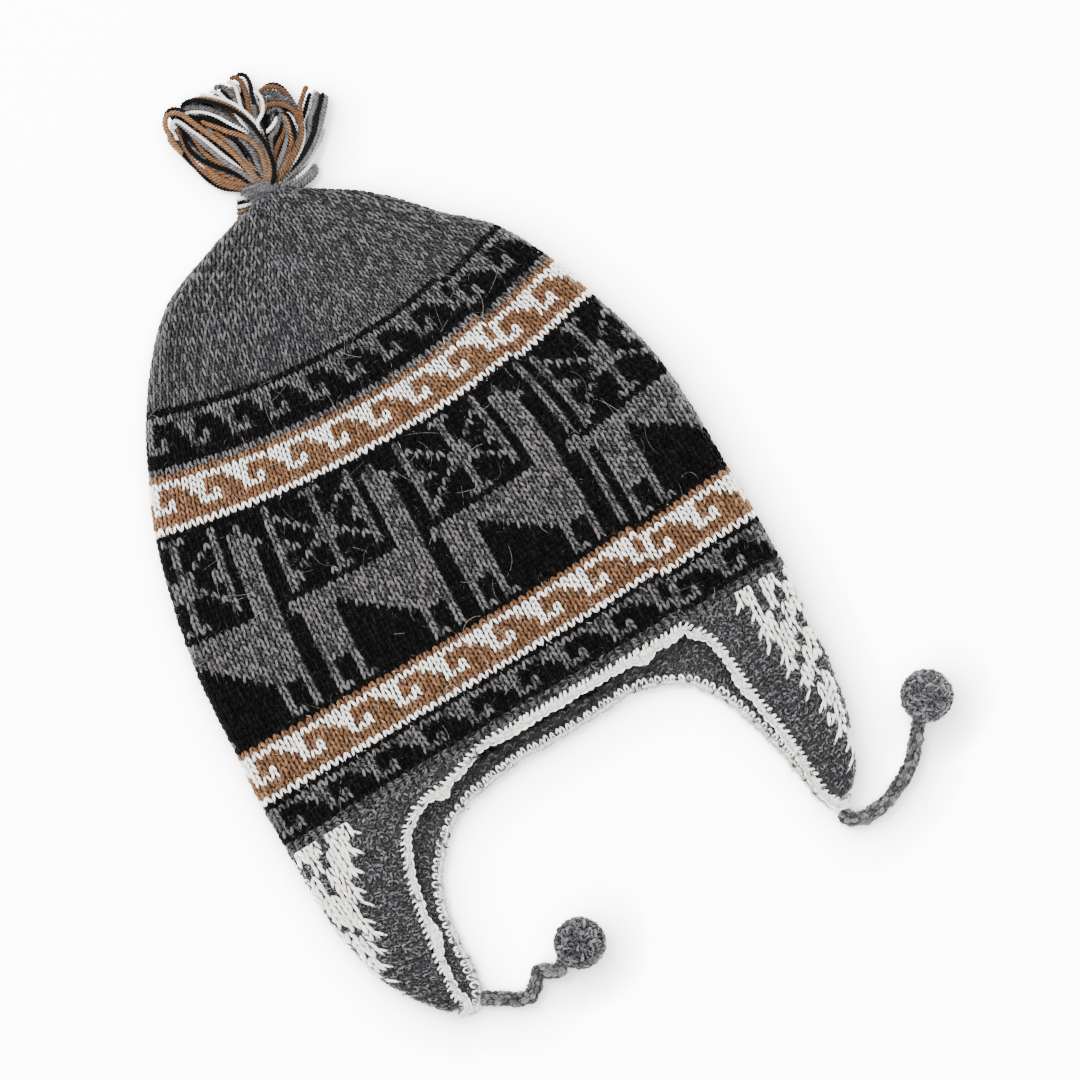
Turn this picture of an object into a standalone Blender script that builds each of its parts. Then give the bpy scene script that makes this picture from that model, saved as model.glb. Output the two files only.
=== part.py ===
"""Knitted chullo hat with ear flaps, ties and tassel, laid flat on its back.

Metres, +Z up, the surface it lies on at Z 0. +Y runs from the rim to the tassel and +X to the
right of someone who looks down at it. The tables below are in millimetres.
"""

import math

import bmesh
import bpy
import numpy as np
from mathutils import Matrix

MM = 0.001
GAP = 0.3           # between pieces that touch
WALL = 3.0          # knitted cloth
EDGE_R = 5.0        # outer radius of the rolled fold at the hat's sides
FLAP_R = 4.2        # the same at the tip of an ear flap
EDGING_T = 2.8      # thickness of the crocheted border
EDGING_W = 4.2      # its width along the flaps and the back rim
RIM_EDGING_W = 6.0  # and along the front rim
TIP_EDGING_W = 3.6  # and round the flaps' tips
EDGING_GAP = 0.45   # from the cloth to the border
TIP_SLACK = 0.6     # how much looser the border lies round the flaps' tips
TIE_D = 4.6         # diameter of a tie
TIE_LIFT = 0.1      # from the surface to a tie

# Knit rows from tip to rim where the crown's outer face has a ring, and its hollow's face
RIM_ROW = 97
OUTER_ROWS = (0, 2, 4, 6, 8, 10, 12.5, 15, 17.5, 20, 24, 28, 32, 37, 42, 46, 52, 57, 63, 68)
OUTER_ROWS += (74, 79, 84, 88, 93, RIM_ROW)
HOLLOW_ROWS = (RIM_ROW, 88, 79, 68, 57, 46, 37, 28, 24, 20, 15, 10, 6, 3)

# Knit rows of the crown: both ends, how far up the row's middle lies on each face, and the
# height of the upper face there
CROWN = ("row", "left_x", "left_y", "right_x", "right_y", "front_y", "back_y", "height")
CROWN_ROWS = (
    (0, -0.5, 146.2, 10.5, 146.2, 146.0, 146.2, 7.6),
    (5, -18.0, 140.3, 24.5, 137.6, 134.0, 136.0, 12.0),
    (10, -36.0, 133.6, 38.6, 129.0, 121.5, 126.0, 15.0),
    (15, -52.5, 126.3, 51.5, 118.0, 108.8, 114.0, 18.0),
    (20, -66.0, 114.5, 63.0, 106.0, 96.0, 102.0, 20.5),
    (28, -84.0, 89.5, 82.0, 89.0, 75.8, 82.0, 23.5),
    (37, -96.6, 64.1, 95.6, 66.0, 51.5, 58.0, 25.5),
    (46, -105.8, 41.0, 104.0, 44.0, 30.5, 37.0, 26.5),
    (57, -113.6, 8.6, 114.2, 13.7, 2.3, 8.0, 27.0),
    (68, -118.2, -23.3, 118.2, -16.6, -26.3, -22.0, 26.5),
    (79, -119.4, -55.7, 119.4, -47.3, -54.4, -54.0, 24.5),
    (88, -120.4, -80.0, 120.3, -71.2, -76.2, -82.0, 21.5),
    (97, -119.8, -104.0, 120.5, -95.6, -98.1, -111.8, 17.5),
)

# Dents pressed into the upper face: start, end, depth and half width
DENT = ("x0", "y0", "x1", "y1", "depth", "spread")
DENTS = (
    (2.0, 122.0, 50.0, 88.0, 3.6, 9.0),
    (-26.0, 112.0, -44.0, 80.0, 1.6, 9.0),
)

# Ear flaps, rows from rim to tip: share of the flap's length, then the fold at the hat's side,
# the edge of the upper half and the edge of the lower half
FLAP = ("share", "fold_x", "fold_y", "upper_x", "upper_y", "lower_x", "lower_y")
FLAP_LEFT_ROWS = (
    (0.00, -119.8, -104.3, -25.2, -98.9, -12.0, -109.2),
    (0.06, -119.7, -108.0, -45.0, -105.6, -32.5, -113.0),
    (0.13, -119.5, -112.0, -61.4, -108.8, -45.5, -116.6),
    (0.21, -119.3, -117.5, -72.6, -115.8, -57.0, -123.6),
    (0.32, -118.9, -127.6, -79.6, -128.3, -66.4, -134.0),
    (0.50, -117.0, -145.9, -84.2, -147.2, -74.4, -149.0),
    (0.68, -112.0, -165.6, -87.2, -166.9, -77.3, -167.8),
    (0.82, -104.4, -179.3, -88.4, -180.7, -77.7, -181.0),
    (0.93, -97.8, -188.2, -88.8, -189.4, -78.8, -189.8),
    (1.00, -92.6, -193.6, -87.8, -194.6, -81.1, -194.8),
)
FLAP_RIGHT_ROWS = (
    (0.00, 120.5, -95.9, 71.0, -96.8, 38.0, -108.2),
    (0.06, 120.4, -99.8, 77.2, -102.0, 50.0, -111.4),
    (0.13, 120.2, -104.4, 80.2, -106.4, 58.4, -114.6),
    (0.21, 119.8, -110.2, 82.2, -112.3, 65.1, -119.4),
    (0.32, 119.0, -122.8, 84.0, -127.0, 73.5, -131.0),
    (0.50, 117.8, -141.8, 86.4, -143.0, 80.0, -146.6),
    (0.68, 115.0, -160.7, 90.0, -161.9, 84.8, -162.6),
    (0.82, 110.5, -174.5, 91.1, -176.2, 87.8, -176.6),
    (0.93, 106.6, -184.6, 92.0, -186.7, 89.6, -187.0),
    (1.00, 101.4, -191.4, 95.4, -193.2, 93.4, -193.2),
)

FLAP_SHARES = (0.0, 0.06, 0.13, 0.21, 0.32, 0.41, 0.5, 0.6, 0.68, 0.76, 0.82, 0.93, 1.0)
TIP_STEPS = [9, 11, 13]  # points of a flap's last section that the border turns round
# The rim between the flaps: from x, to x and the number of points
FRONT_RIM = (-16.0, 66.0, 9)
BACK_RIM = (32.0, -6.0, 5)

# Yarn locks of the tassel: root, bend and tip in plan, half width, half height, lowest point
LOCK = ("root_x", "root_y", "bend_x", "bend_y", "tip_x", "tip_y", "half_w", "half_h", "floor")
TASSEL_HEAD = (5.0, 152.5, 5.5, 156.0, 6.5, 161.0, 6.4, 5.0, 0.6)
TASSEL_LOCKS = (
    (2.5, 155.0, -9.5, 172.0, -14.5, 198.6, 8.0, 5.4, 0.0),
    (4.5, 155.0, 8.0, 174.0, -1.5, 196.4, 10.4, 6.4, 0.3),
    (7.0, 156.0, 13.0, 178.0, 16.5, 196.8, 6.2, 4.6, 0.5),
    (8.0, 155.5, 22.0, 164.0, 27.0, 184.6, 8.4, 5.2, 0.2),
    (8.5, 154.6, 28.0, 156.5, 44.5, 174.6, 5.4, 3.6, 0.4),
    (8.5, 154.8, 16.5, 144.6, 26.6, 146.2, 2.8, 2.2, 0.7),
)
TAIL = (-2.6, 147.8, -8.0, 148.6, -11.4, 143.2, 2.6, 2.8, 0.2)
# Half width of a lock along its length, as a share of its widest
PETAL = ((0.0, 0.45), (0.18, 0.62), (0.4, 0.9), (0.62, 1.0), (0.8, 0.92), (0.92, 0.66), (1.0, 0.2))

# The binding: its axis, then how far up each ring lies, its half width and half height
BINDING_X, BINDING_Z = 5.0, 4.2
BINDING_RINGS = (
    (146.6, 4.0, 3.2), (147.4, 4.9, 3.9), (149.2, 5.3, 4.2), (151.0, 4.9, 3.9), (151.8, 4.0, 3.2)
)

# Routes of the ties from flap tip to pompom, in plan
TIE_LEFT_ROUTE = (
    (-76.1, -196.1), (-70.4, -199.2), (-65.8, -202.0), (-61.0, -203.8), (-57.0, -202.4),
    (-54.2, -198.8), (-51.0, -196.4), (-47.8, -198.6), (-44.6, -200.0), (-39.3, -197.6),
)
TIE_RIGHT_ROUTE = (
    (92.5, -198.0), (93.8, -201.4), (96.6, -203.7), (99.8, -204.6), (104.0, -204.8),
    (109.5, -204.0), (115.3, -202.0), (122.7, -198.2), (128.2, -194.0), (133.0, -188.9),
    (137.2, -183.4), (140.7, -178.8),
)
# The pompoms: centre in plan, width and height
POMPOM_LEFT = (-30.5, -193.9, 22.0, 21.0)
POMPOM_RIGHT = (147.5, -172.0, 22.4, 21.0)

INK = (0.012, 0.012, 0.014)
HEATHER = (0.11, 0.11, 0.12)
FLAP_GREY = (0.075, 0.075, 0.08)
CHALK = (0.78, 0.76, 0.71)
CAMEL = (0.36, 0.17, 0.075)


def material(name, colour, roughness=0.9):
    made = bpy.data.materials.new(name)
    made.use_nodes = True
    shader = made.node_tree.nodes["Principled BSDF"]
    shader.inputs["Base Color"].default_value = (*colour, 1.0)
    shader.inputs["Roughness"].default_value = roughness
    shader.inputs["Metallic"].default_value = 0.0
    made.diffuse_color = (*colour, 1.0)
    return made


def read(table, names, at):
    """Rows of a table at other values of its first column, on cubics through its rows.

    The slope at each row is the mean of the slopes on both sides of it.
    """
    knots = np.array([row[0] for row in table], float)
    data = np.array([row[1:] for row in table], float)
    steps = np.diff(data, axis=0) / np.diff(knots)[:, None]
    slopes = np.vstack([steps[:1], (steps[1:] + steps[:-1]) / 2, steps[-1:]])
    at = np.atleast_1d(np.asarray(at, float))
    k = np.clip(np.searchsorted(knots, at, side="right") - 1, 0, len(knots) - 2)
    h = (knots[k + 1] - knots[k])[:, None]
    t = (at - knots[k])[:, None] / h
    values = (
        (2 * t**3 - 3 * t**2 + 1) * data[k]
        + (t**3 - 2 * t**2 + t) * h * slopes[k]
        + (3 * t**2 - 2 * t**3) * data[k + 1]
        + (t**3 - t**2) * h * slopes[k + 1]
    )
    return {name: values[:, i] for i, name in enumerate(names[1:])}


def hump(t):
    """0 at the fold, 1 in the middle, level at both."""
    t = np.clip(t, 0.0, 1.0)
    return t * t * (3 - 2 * t)


def dent_depth(x, y):
    """How far the dents press the upper face down at a place."""
    depth = np.zeros_like(x)
    for row in DENTS:
        d = dict(zip(DENT, row))
        run = np.array([d["x1"] - d["x0"], d["y1"] - d["y0"]])
        along = ((x - d["x0"]) * run[0] + (y - d["y0"]) * run[1]) / (run @ run)
        along = np.clip(along, 0, 1)
        away = np.hypot(x - d["x0"] - along * run[0], y - d["y0"] - along * run[1])
        depth += d["depth"] * np.exp(-((away / d["spread"]) ** 2))
    return depth


def crown_ring(row, inset, front=22, fold=4, back=12):
    """One knit row as a closed ring: back face, left fold, front face, right fold.

    The ring lies inset deeper than the outer face. Its two ends are half circles, its back is
    flat and its front rises as a smooth hump between the folds.
    """
    c = {name: column[0] for name, column in read(CROWN_ROWS, CROWN, row).items()}
    half = math.hypot(c["right_x"] - c["left_x"], c["right_y"] - c["left_y"]) / 2
    r = min(EDGE_R, c["height"] * 0.48, half * 0.8)
    turn = np.linspace(-math.pi / 2, math.pi / 2, fold + 1)
    roll_a = r - (r - inset) * np.cos(turn)
    roll_z = r + (r - inset) * np.sin(turn)
    flat = 2 * half - 2 * r
    front_a = r + flat * np.linspace(0, 1, front + 1)[1:-1]
    back_a = r + flat * np.linspace(1, 0, back + 1)[1:-1]
    rise = hump(np.minimum(front_a - r, 2 * half - r - front_a) / (half - r))
    front_z = 2 * r + (c["height"] - 2 * r) * rise - inset
    a = np.concatenate([roll_a, front_a, 2 * half - roll_a[::-1], back_a])
    z = np.concatenate([roll_z, front_z, roll_z[::-1], np.full(back - 1, inset)])
    up = (1 + np.sin(turn)) / 2
    face = np.concatenate([up, np.ones(front - 1), up[::-1], np.zeros(back - 1)])
    s = a / half - 1
    x = c["left_x"] + (c["right_x"] - c["left_x"]) * (s + 1) / 2
    y = c["left_y"] + (c["right_y"] - c["left_y"]) * (s + 1) / 2
    middle = (c["left_y"] + c["right_y"]) / 2
    bow = face * (c["front_y"] - middle) + (1 - face) * (c["back_y"] - middle)
    y = y + bow * (1 - s * s)
    pressed = np.concatenate([np.zeros(fold + 1), rise, np.zeros(fold + 1), np.zeros(back - 1)])
    z = z - dent_depth(x, y) * pressed
    return np.stack([x, y, z], axis=1)


def rim_y(x, middle):
    """How far up the crown's rim lies at x, on the front (front_y) or the back (back_y)."""
    rim = {name: column[0] for name, column in read(CROWN_ROWS, CROWN, RIM_ROW).items()}
    s = (x - rim["left_x"]) / (rim["right_x"] - rim["left_x"]) * 2 - 1
    chord = (rim["left_y"] * (1 - s) + rim["right_y"] * (1 + s)) / 2
    return chord + (rim[middle] - (rim["left_y"] + rim["right_y"]) / 2) * (1 - s * s)


def flap_section(rows, share, inset, upper=9, fold=4, lower=8):
    """One row of an ear flap as an open C: upper half, fold, lower half, inset deep.

    At the rim its upper face has the crown's height, and it settles to the fold's towards the tip.
    """
    c = {name: column[0] for name, column in read(rows, FLAP, share).items()}
    rim = {name: column[0] for name, column in read(CROWN_ROWS, CROWN, RIM_ROW).items()}
    half = (rim["right_x"] - rim["left_x"]) / 2
    span_u = np.array([c["upper_x"] - c["fold_x"], c["upper_y"] - c["fold_y"]])
    span_l = np.array([c["lower_x"] - c["fold_x"], c["lower_y"] - c["fold_y"]])
    length_u, length_l = np.hypot(*span_u), np.hypot(*span_l)
    r = EDGE_R + (FLAP_R - EDGE_R) * share
    turn = np.linspace(math.pi / 2, -math.pi / 2, fold + 1)
    roll_a = r - (r - inset) * np.cos(turn)
    roll_z = r + (r - inset) * np.sin(turn)
    upper_a = r + (length_u - r) * np.linspace(1, 0, upper + 1)[:-1]
    lower_a = r + (length_l - r) * np.linspace(0, 1, lower + 1)[1:]
    lift = (rim["height"] - 2 * EDGE_R) * (1 - hump(share * 1.25))
    upper_z = 2 * r + lift * hump((upper_a - r) / (half - r)) - inset
    a = np.concatenate([upper_a / length_u, roll_a / length_u, lower_a / length_l])
    z = np.concatenate([upper_z, roll_z, np.full(lower, inset)])
    on_upper = np.concatenate([np.ones(upper), (1 + np.sin(turn)) / 2, np.zeros(lower)])[:, None]
    fold_point = np.array([c["fold_x"], c["fold_y"]])
    plan = fold_point + a[:, None] * (on_upper * span_u + (1 - on_upper) * span_l)
    start = {name: column[0] for name, column in read(rows, FLAP, 0.0).items()}
    for middle, edge, weight in (
        ("front_y", "upper", on_upper[:, 0]), ("back_y", "lower", 1 - on_upper[:, 0])
    ):
        x = start["fold_x"] + a * (start[edge + "_x"] - start["fold_x"])
        straight = start["fold_y"] + a * (start[edge + "_y"] - start["fold_y"])
        plan[:, 1] += weight * (1 - share) ** 6 * (rim_y(x, middle) - GAP - straight)
    return np.column_stack([plan, z])


def add_mesh(name, points, faces, colour):
    """A node from points in millimetres, its doubles welded and its faces turned outwards."""
    mesh = bpy.data.meshes.new(name)
    mesh.from_pydata((np.asarray(points) * MM).tolist(), [], faces)
    work = bmesh.new()
    work.from_mesh(mesh)
    bmesh.ops.remove_doubles(work, verts=work.verts, dist=1e-6)
    bmesh.ops.recalc_face_normals(work, faces=work.faces)
    work.to_mesh(mesh)
    work.free()
    mesh.shade_smooth()
    mesh.set_sharp_from_angle(angle=math.radians(50))
    made = bpy.data.objects.new(name, mesh)
    mesh.materials.append(colour)
    hat.objects.link(made)
    return made


def loft(rings, caps=True):
    """Points and faces of a solid through closed rings, fanned shut at its first and last."""
    rings = np.asarray(rings)
    n, m = rings.shape[:2]
    points = rings.reshape(-1, 3)
    grid = np.arange(n * m).reshape(n, m)
    faces = []
    for i in range(n - 1 if caps else n):
        here, there = grid[i], grid[(i + 1) % n]
        for j in range(m):
            k = (j + 1) % m
            faces.append((int(here[j]), int(here[k]), int(there[k]), int(there[j])))
    if caps:
        ends = [rings[0].mean(axis=0), rings[-1].mean(axis=0)]
        points = np.vstack([points, ends])
        for ring, centre in ((grid[0], n * m), (grid[-1], n * m + 1)):
            faces += [(int(ring[j]), int(ring[(j + 1) % m]), centre) for j in range(m)]
    return points, faces


def build_crown(colour):
    """Outer face from tip to rim, then inner face from the rim back to the tip."""
    rings = [crown_ring(row, 0.0) for row in OUTER_ROWS]
    rings += [crown_ring(row, WALL) for row in HOLLOW_ROWS]
    return add_mesh("crown", *loft(rings), colour)


def build_flap(name, rows, colour):
    """A folded flap: each section runs along the outer face and back along the inner one."""
    rings = []
    for share in FLAP_SHARES:
        outer = flap_section(rows, share, 0.0)
        inner = flap_section(rows, share, WALL)
        rings.append(np.vstack([outer, inner[::-1]]))
    points, faces = loft(rings, caps=False)
    m = len(rings[0])
    last = (len(rings) - 1) * m
    faces = [f for f in faces if not (min(f) < m and max(f) >= last)]
    for base in (0, last):
        for j in range(m // 2 - 1):
            faces.append((base + j, base + j + 1, base + m - 2 - j, base + m - 1 - j))
    return add_mesh(name, points, faces, colour)


def plan_normals(points, side):
    """Unit vectors in plan across an open line of points, on its right (1) or left (-1)."""
    run = np.gradient(points[:, :2], axis=0)
    out = side * np.column_stack([run[:, 1], -run[:, 0], np.zeros(len(run))])
    return out / np.linalg.norm(out, axis=1)[:, None]


def rim_edge(x0, x1, count, middle):
    """Points along the middle of the cloth's thickness on the crown's rim."""
    rim = {name: column[0] for name, column in read(CROWN_ROWS, CROWN, RIM_ROW).items()}
    half = (rim["right_x"] - rim["left_x"]) / 2
    x = np.linspace(x0, x1, count)
    inward = np.minimum(x - rim["left_x"], rim["right_x"] - x)
    rise = hump((inward - EDGE_R) / (half - EDGE_R)) * (rim["height"] - 2 * EDGE_R)
    z = 2 * EDGE_R + rise if middle == "front_y" else np.full(count, WALL)
    return np.column_stack([x, rim_y(x, middle), z - WALL / 2])


def cloth_edge():
    """The free edge of the cloth as one loop: its points, the way out of the cloth and widths.

    It runs along the front rim, down the right flap's upper half, round the flap's tip, back up
    its lower half, along the back rim and round the left flap the same way.
    """
    left = [flap_section(FLAP_LEFT_ROWS, share, WALL / 2) for share in FLAP_SHARES]
    right = [flap_section(FLAP_RIGHT_ROWS, share, WALL / 2) for share in FLAP_SHARES]
    front_rim = rim_edge(*FRONT_RIM, "front_y")
    back_rim = rim_edge(*BACK_RIM, "back_y")
    front = np.vstack([[s[0] for s in left[::-1]], front_rim, [s[0] for s in right]])
    back = np.vstack([[s[-1] for s in right[::-1]], back_rim, [s[-1] for s in left]])
    path = [front, right[-1][TIP_STEPS], back, left[-1][TIP_STEPS[::-1]]]
    ways = [plan_normals(front, 1), None, plan_normals(back, -1), None]
    for i, flap in ((1, right), (3, left)):
        down = flap[-1][TIP_STEPS[1]] - flap[-2][TIP_STEPS[1]]
        down = np.array([down[0], down[1], 0.0]) / math.hypot(down[0], down[1])
        ways[i] = np.tile(down, (len(TIP_STEPS), 1))
        path[i] = path[i] + down * TIP_SLACK
    flap_w = [EDGING_W] * len(FLAP_SHARES)
    widths = [
        flap_w + [RIM_EDGING_W] * len(front_rim) + flap_w,
        [TIP_EDGING_W] * len(TIP_STEPS),
        flap_w + [EDGING_W] * len(back_rim) + flap_w,
        [TIP_EDGING_W] * len(TIP_STEPS),
    ]
    for side, tip, end, start in ((0, 1, -1, 0), (2, 1, 0, -1), (2, 3, -1, 0), (0, 3, 0, -1)):
        ways[side][end] += ways[tip][start]
    out = np.vstack(ways)
    out /= np.linalg.norm(out, axis=1)[:, None]
    return np.vstack(path), out, np.concatenate(widths)


def build_edging(colour):
    """The border: an eight-sided rounded band carried round the cloth's free edge."""
    path, out, width = cloth_edge()
    along = np.roll(path, -1, axis=0) - np.roll(path, 1, axis=0)
    along /= np.linalg.norm(along, axis=1)[:, None]
    out = out - along * np.sum(out * along, axis=1)[:, None]
    out /= np.linalg.norm(out, axis=1)[:, None]
    up = np.cross(out, along)
    rings = []
    for angle in np.linspace(0, 2 * math.pi, 9)[:-1] + math.pi / 8:
        away = EDGING_GAP + width / 2 * (1 + math.cos(angle) / math.cos(math.pi / 8))
        high = EDGING_T / 2 * math.sin(angle) / math.cos(math.pi / 8)
        rings.append(path + out * away[:, None] + up * high)
    return add_mesh("edging", *loft(np.swapaxes(rings, 0, 1), caps=False), colour)


def lock_mesh(name, row, colour, sides=10):
    """A yarn lock: oval sections along a curve from root over bend to tip, as wide as PETAL says."""
    k = dict(zip(LOCK, row))
    root = np.array([k["root_x"], k["root_y"]])
    bend = np.array([k["bend_x"], k["bend_y"]])
    tip = np.array([k["tip_x"], k["tip_y"]])
    rings = []
    for t in np.linspace(0, 1, 9):
        spot = (1 - t) ** 2 * root + 2 * t * (1 - t) * bend + t * t * tip
        run = 2 * (1 - t) * (bend - root) + 2 * t * (tip - bend)
        side = np.array([-run[1], run[0]]) / np.hypot(*run)
        size = np.interp(t, *zip(*PETAL))
        tall = k["half_h"] * math.sqrt(size)
        turn = np.linspace(0, 2 * math.pi, sides + 1)[:-1] + math.pi / sides
        plan = spot + np.outer(np.cos(turn) * k["half_w"] * size, side)
        rings.append(np.column_stack([plan, k["floor"] + tall * (1 + np.sin(turn))]))
    return add_mesh(name, *loft(rings), colour)


def build_tassel(colour):
    """The head with its locks fused to it."""
    head = lock_mesh("tassel", TASSEL_HEAD, colour)
    for i, row in enumerate(TASSEL_LOCKS):
        lock = lock_mesh(f"lock_{i}", row, colour)
        hat.objects.unlink(lock)
        cutters.objects.link(lock)
        lock.hide_render = True
        lock.display_type = "WIRE"
    joint = head.modifiers.new("fuse_locks", "BOOLEAN")
    joint.operation = "UNION"
    joint.solver = "EXACT"
    joint.operand_type = "COLLECTION"
    joint.collection = cutters
    return head


def build_binding(colour):
    """Yarn wound round the neck: a barrel along Y between the crown's tip and the tassel."""
    rings = []
    turn = np.linspace(0, 2 * math.pi, 17)[:-1]
    for y, half_w, half_h in BINDING_RINGS:
        x = BINDING_X + half_w * np.cos(turn)
        z = BINDING_Z + half_h * np.sin(turn)
        rings.append(np.column_stack([x, np.full(len(turn), y), z]))
    return add_mesh("tassel_binding", *loft(rings), colour)


def smooth_route(points, step):
    """Points about step apart on the smooth curve through a route's own points."""
    points = np.array(points, float)
    reach = np.concatenate([[0], np.cumsum(np.hypot(*np.diff(points, axis=0).T))])
    table = [(r, *p) for r, p in zip(reach, points)]
    count = int(round(reach[-1] / step)) + 1
    c = read(table, ("reach", "x", "y"), np.linspace(0, reach[-1], count))
    return np.column_stack([c["x"], c["y"]])


def build_tie(name, route, colour):
    """A tie lying on the surface: a round cord with filled ends."""
    curve = bpy.data.curves.new(name, "CURVE")
    curve.dimensions = "3D"
    curve.bevel_depth = TIE_D / 2 * MM
    curve.bevel_resolution = 2
    curve.use_fill_caps = True
    spots = smooth_route(route, TIE_D * 0.7)
    line = curve.splines.new("POLY")
    line.points.add(len(spots) - 1)
    for point, (x, y) in zip(line.points, spots):
        point.co = (x * MM, y * MM, (TIE_D / 2 + TIE_LIFT) * MM, 1.0)
    curve.materials.append(colour)
    made = bpy.data.objects.new(name, curve)
    hat.objects.link(made)
    return made


def build_pompom(name, place, colour):
    """A crocheted ball, a little flattened where it lies."""
    x, y, across, tall = place
    bpy.ops.mesh.primitive_uv_sphere_add(segments=16, ring_count=10, radius=0.5 * MM)
    ball = bpy.context.object
    ball.name = name
    ball.data.name = name
    ball.data.transform(Matrix.Diagonal((across, across, tall, 1.0)))
    ball.location = (x * MM, y * MM, tall / 2 * MM)
    ball.data.materials.append(colour)
    ball.data.shade_smooth()
    for owner in list(ball.users_collection):
        owner.objects.unlink(ball)
    hat.objects.link(ball)
    return ball


for old in list(bpy.data.objects):
    bpy.data.objects.remove(old, do_unlink=True)
hat = bpy.data.collections.new("chullo_hat")
cutters = bpy.data.collections.new("cutters")
bpy.context.scene.collection.children.link(hat)
bpy.context.scene.collection.children.link(cutters)

build_crown(material("crown_knit", HEATHER))
flap_knit = material("flap_knit", FLAP_GREY)
build_flap("flap_left", FLAP_LEFT_ROWS, flap_knit)
build_flap("flap_right", FLAP_RIGHT_ROWS, flap_knit)
build_edging(material("edging_yarn", CHALK))
build_binding(material("binding_yarn", HEATHER))
tassel_yarn = material("tassel_yarn", CAMEL)
build_tassel(tassel_yarn)
lock_mesh("tassel_tail", TAIL, material("tail_yarn", INK))
tie_yarn = material("tie_yarn", FLAP_GREY)
build_tie("tie_left", TIE_LEFT_ROUTE, tie_yarn)
build_tie("tie_right", TIE_RIGHT_ROUTE, tie_yarn)
build_pompom("pompom_left", POMPOM_LEFT, tie_yarn)
build_pompom("pompom_right", POMPOM_RIGHT, tie_yarn)
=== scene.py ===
"""Looks of the chullo hat: yarn, stitches, ties and tassel, laid on a pale floor.

Places are in millimetres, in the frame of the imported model, until a mesh is made of them.
"""

import math

import bpy
import numpy as np
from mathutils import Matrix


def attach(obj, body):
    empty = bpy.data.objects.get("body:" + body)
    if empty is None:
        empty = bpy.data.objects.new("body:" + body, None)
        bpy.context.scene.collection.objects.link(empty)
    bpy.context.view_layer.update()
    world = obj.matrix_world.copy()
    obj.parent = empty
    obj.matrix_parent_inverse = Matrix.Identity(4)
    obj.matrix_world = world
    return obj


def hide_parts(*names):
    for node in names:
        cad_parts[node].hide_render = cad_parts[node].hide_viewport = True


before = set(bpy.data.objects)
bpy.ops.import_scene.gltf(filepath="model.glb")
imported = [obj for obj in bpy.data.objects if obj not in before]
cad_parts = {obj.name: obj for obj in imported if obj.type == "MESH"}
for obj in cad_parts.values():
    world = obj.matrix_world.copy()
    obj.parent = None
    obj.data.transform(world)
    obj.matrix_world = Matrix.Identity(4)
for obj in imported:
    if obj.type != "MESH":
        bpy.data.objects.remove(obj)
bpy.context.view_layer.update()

# Camera
# It looks straight down from far away, as the photo does, turned so that the hat leans to the
# right in the picture.
MM = 0.001
VIEW_X, VIEW_Y = 35.7, -36.75   # the point under the camera
VIEW_WIDTH = 453.6              # what the picture spans at the height of the hat's upper face
VIEW_Z = 20.0
VIEW_TURN = -28.5               # degrees
CAMERA_ABOVE = 4000.0
SENSOR = 36.0

camera_data = bpy.data.cameras.new("camera")
camera_data.sensor_width = SENSOR
camera_data.lens = SENSOR * CAMERA_ABOVE / VIEW_WIDTH
camera_data.clip_end = 20
camera = bpy.data.objects.new("camera", camera_data)
camera.location = (VIEW_X * MM, VIEW_Y * MM, (VIEW_Z + CAMERA_ABOVE) * MM)
camera.rotation_euler = (0, 0, math.radians(VIEW_TURN))
bpy.context.scene.collection.objects.link(camera)
bpy.context.scene.camera = camera

# Ties
# Two cords, crocheted of the same grey wool as the flaps. Each is sewn to a flap's tip, lies
# loose on the floor and ends in a ball. Their stitches stand round a plain core.
TIE_D = 4.6
TIE_Z = 2.4
TIE_LEFT_ROUTE = (
    (-78.6, -194.6), (-70.4, -199.2), (-65.8, -202.0), (-61.0, -203.8), (-57.0, -202.4),
    (-54.2, -198.8), (-51.0, -196.4), (-47.8, -198.6), (-44.6, -200.0), (-39.3, -197.6),
    (-36.4, -196.2),
)
TIE_RIGHT_ROUTE = (
    (92.5, -198.0), (93.8, -201.4), (96.6, -203.7), (99.8, -204.6), (104.0, -204.8),
    (109.5, -204.0), (115.3, -202.0), (122.7, -198.2), (128.2, -194.0), (133.0, -188.9),
    (137.2, -183.4), (140.7, -178.8), (143.0, -176.5),
)
TIE_ROUND = 4                   # stitches round the cord
TIE_ROW = 2.9                   # length of a stitch along it
TIE_SKIN = 0.75                 # how far its stitches stand round its core
TIE_HAIRS = 900
HAIR = 0.075                    # half the thickness of the fibres that stand off the yarn
FLAP_DARK, FLAP_LIGHT = (0.0185, 0.0182, 0.0198), (0.176, 0.171, 0.179)

rng = np.random.default_rng(11)


class Value:
    """A socket whose value varies over the surface: arithmetic on it adds Math nodes."""

    def __init__(self, finish, socket):
        self.finish = finish
        self.socket = socket

    def join(self, operation, first, second):
        made = self.finish.node("ShaderNodeMath", {"operation": operation}, {0: first, 1: second})
        return Value(self.finish, made.outputs[0])

    def __add__(self, other):
        return self.join("ADD", self, other)

    def __radd__(self, other):
        return self.join("ADD", other, self)

    def __sub__(self, other):
        return self.join("SUBTRACT", self, other)

    def __rsub__(self, other):
        return self.join("SUBTRACT", other, self)

    def __mul__(self, other):
        return self.join("MULTIPLY", self, other)

    def __rmul__(self, other):
        return self.join("MULTIPLY", other, self)


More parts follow.
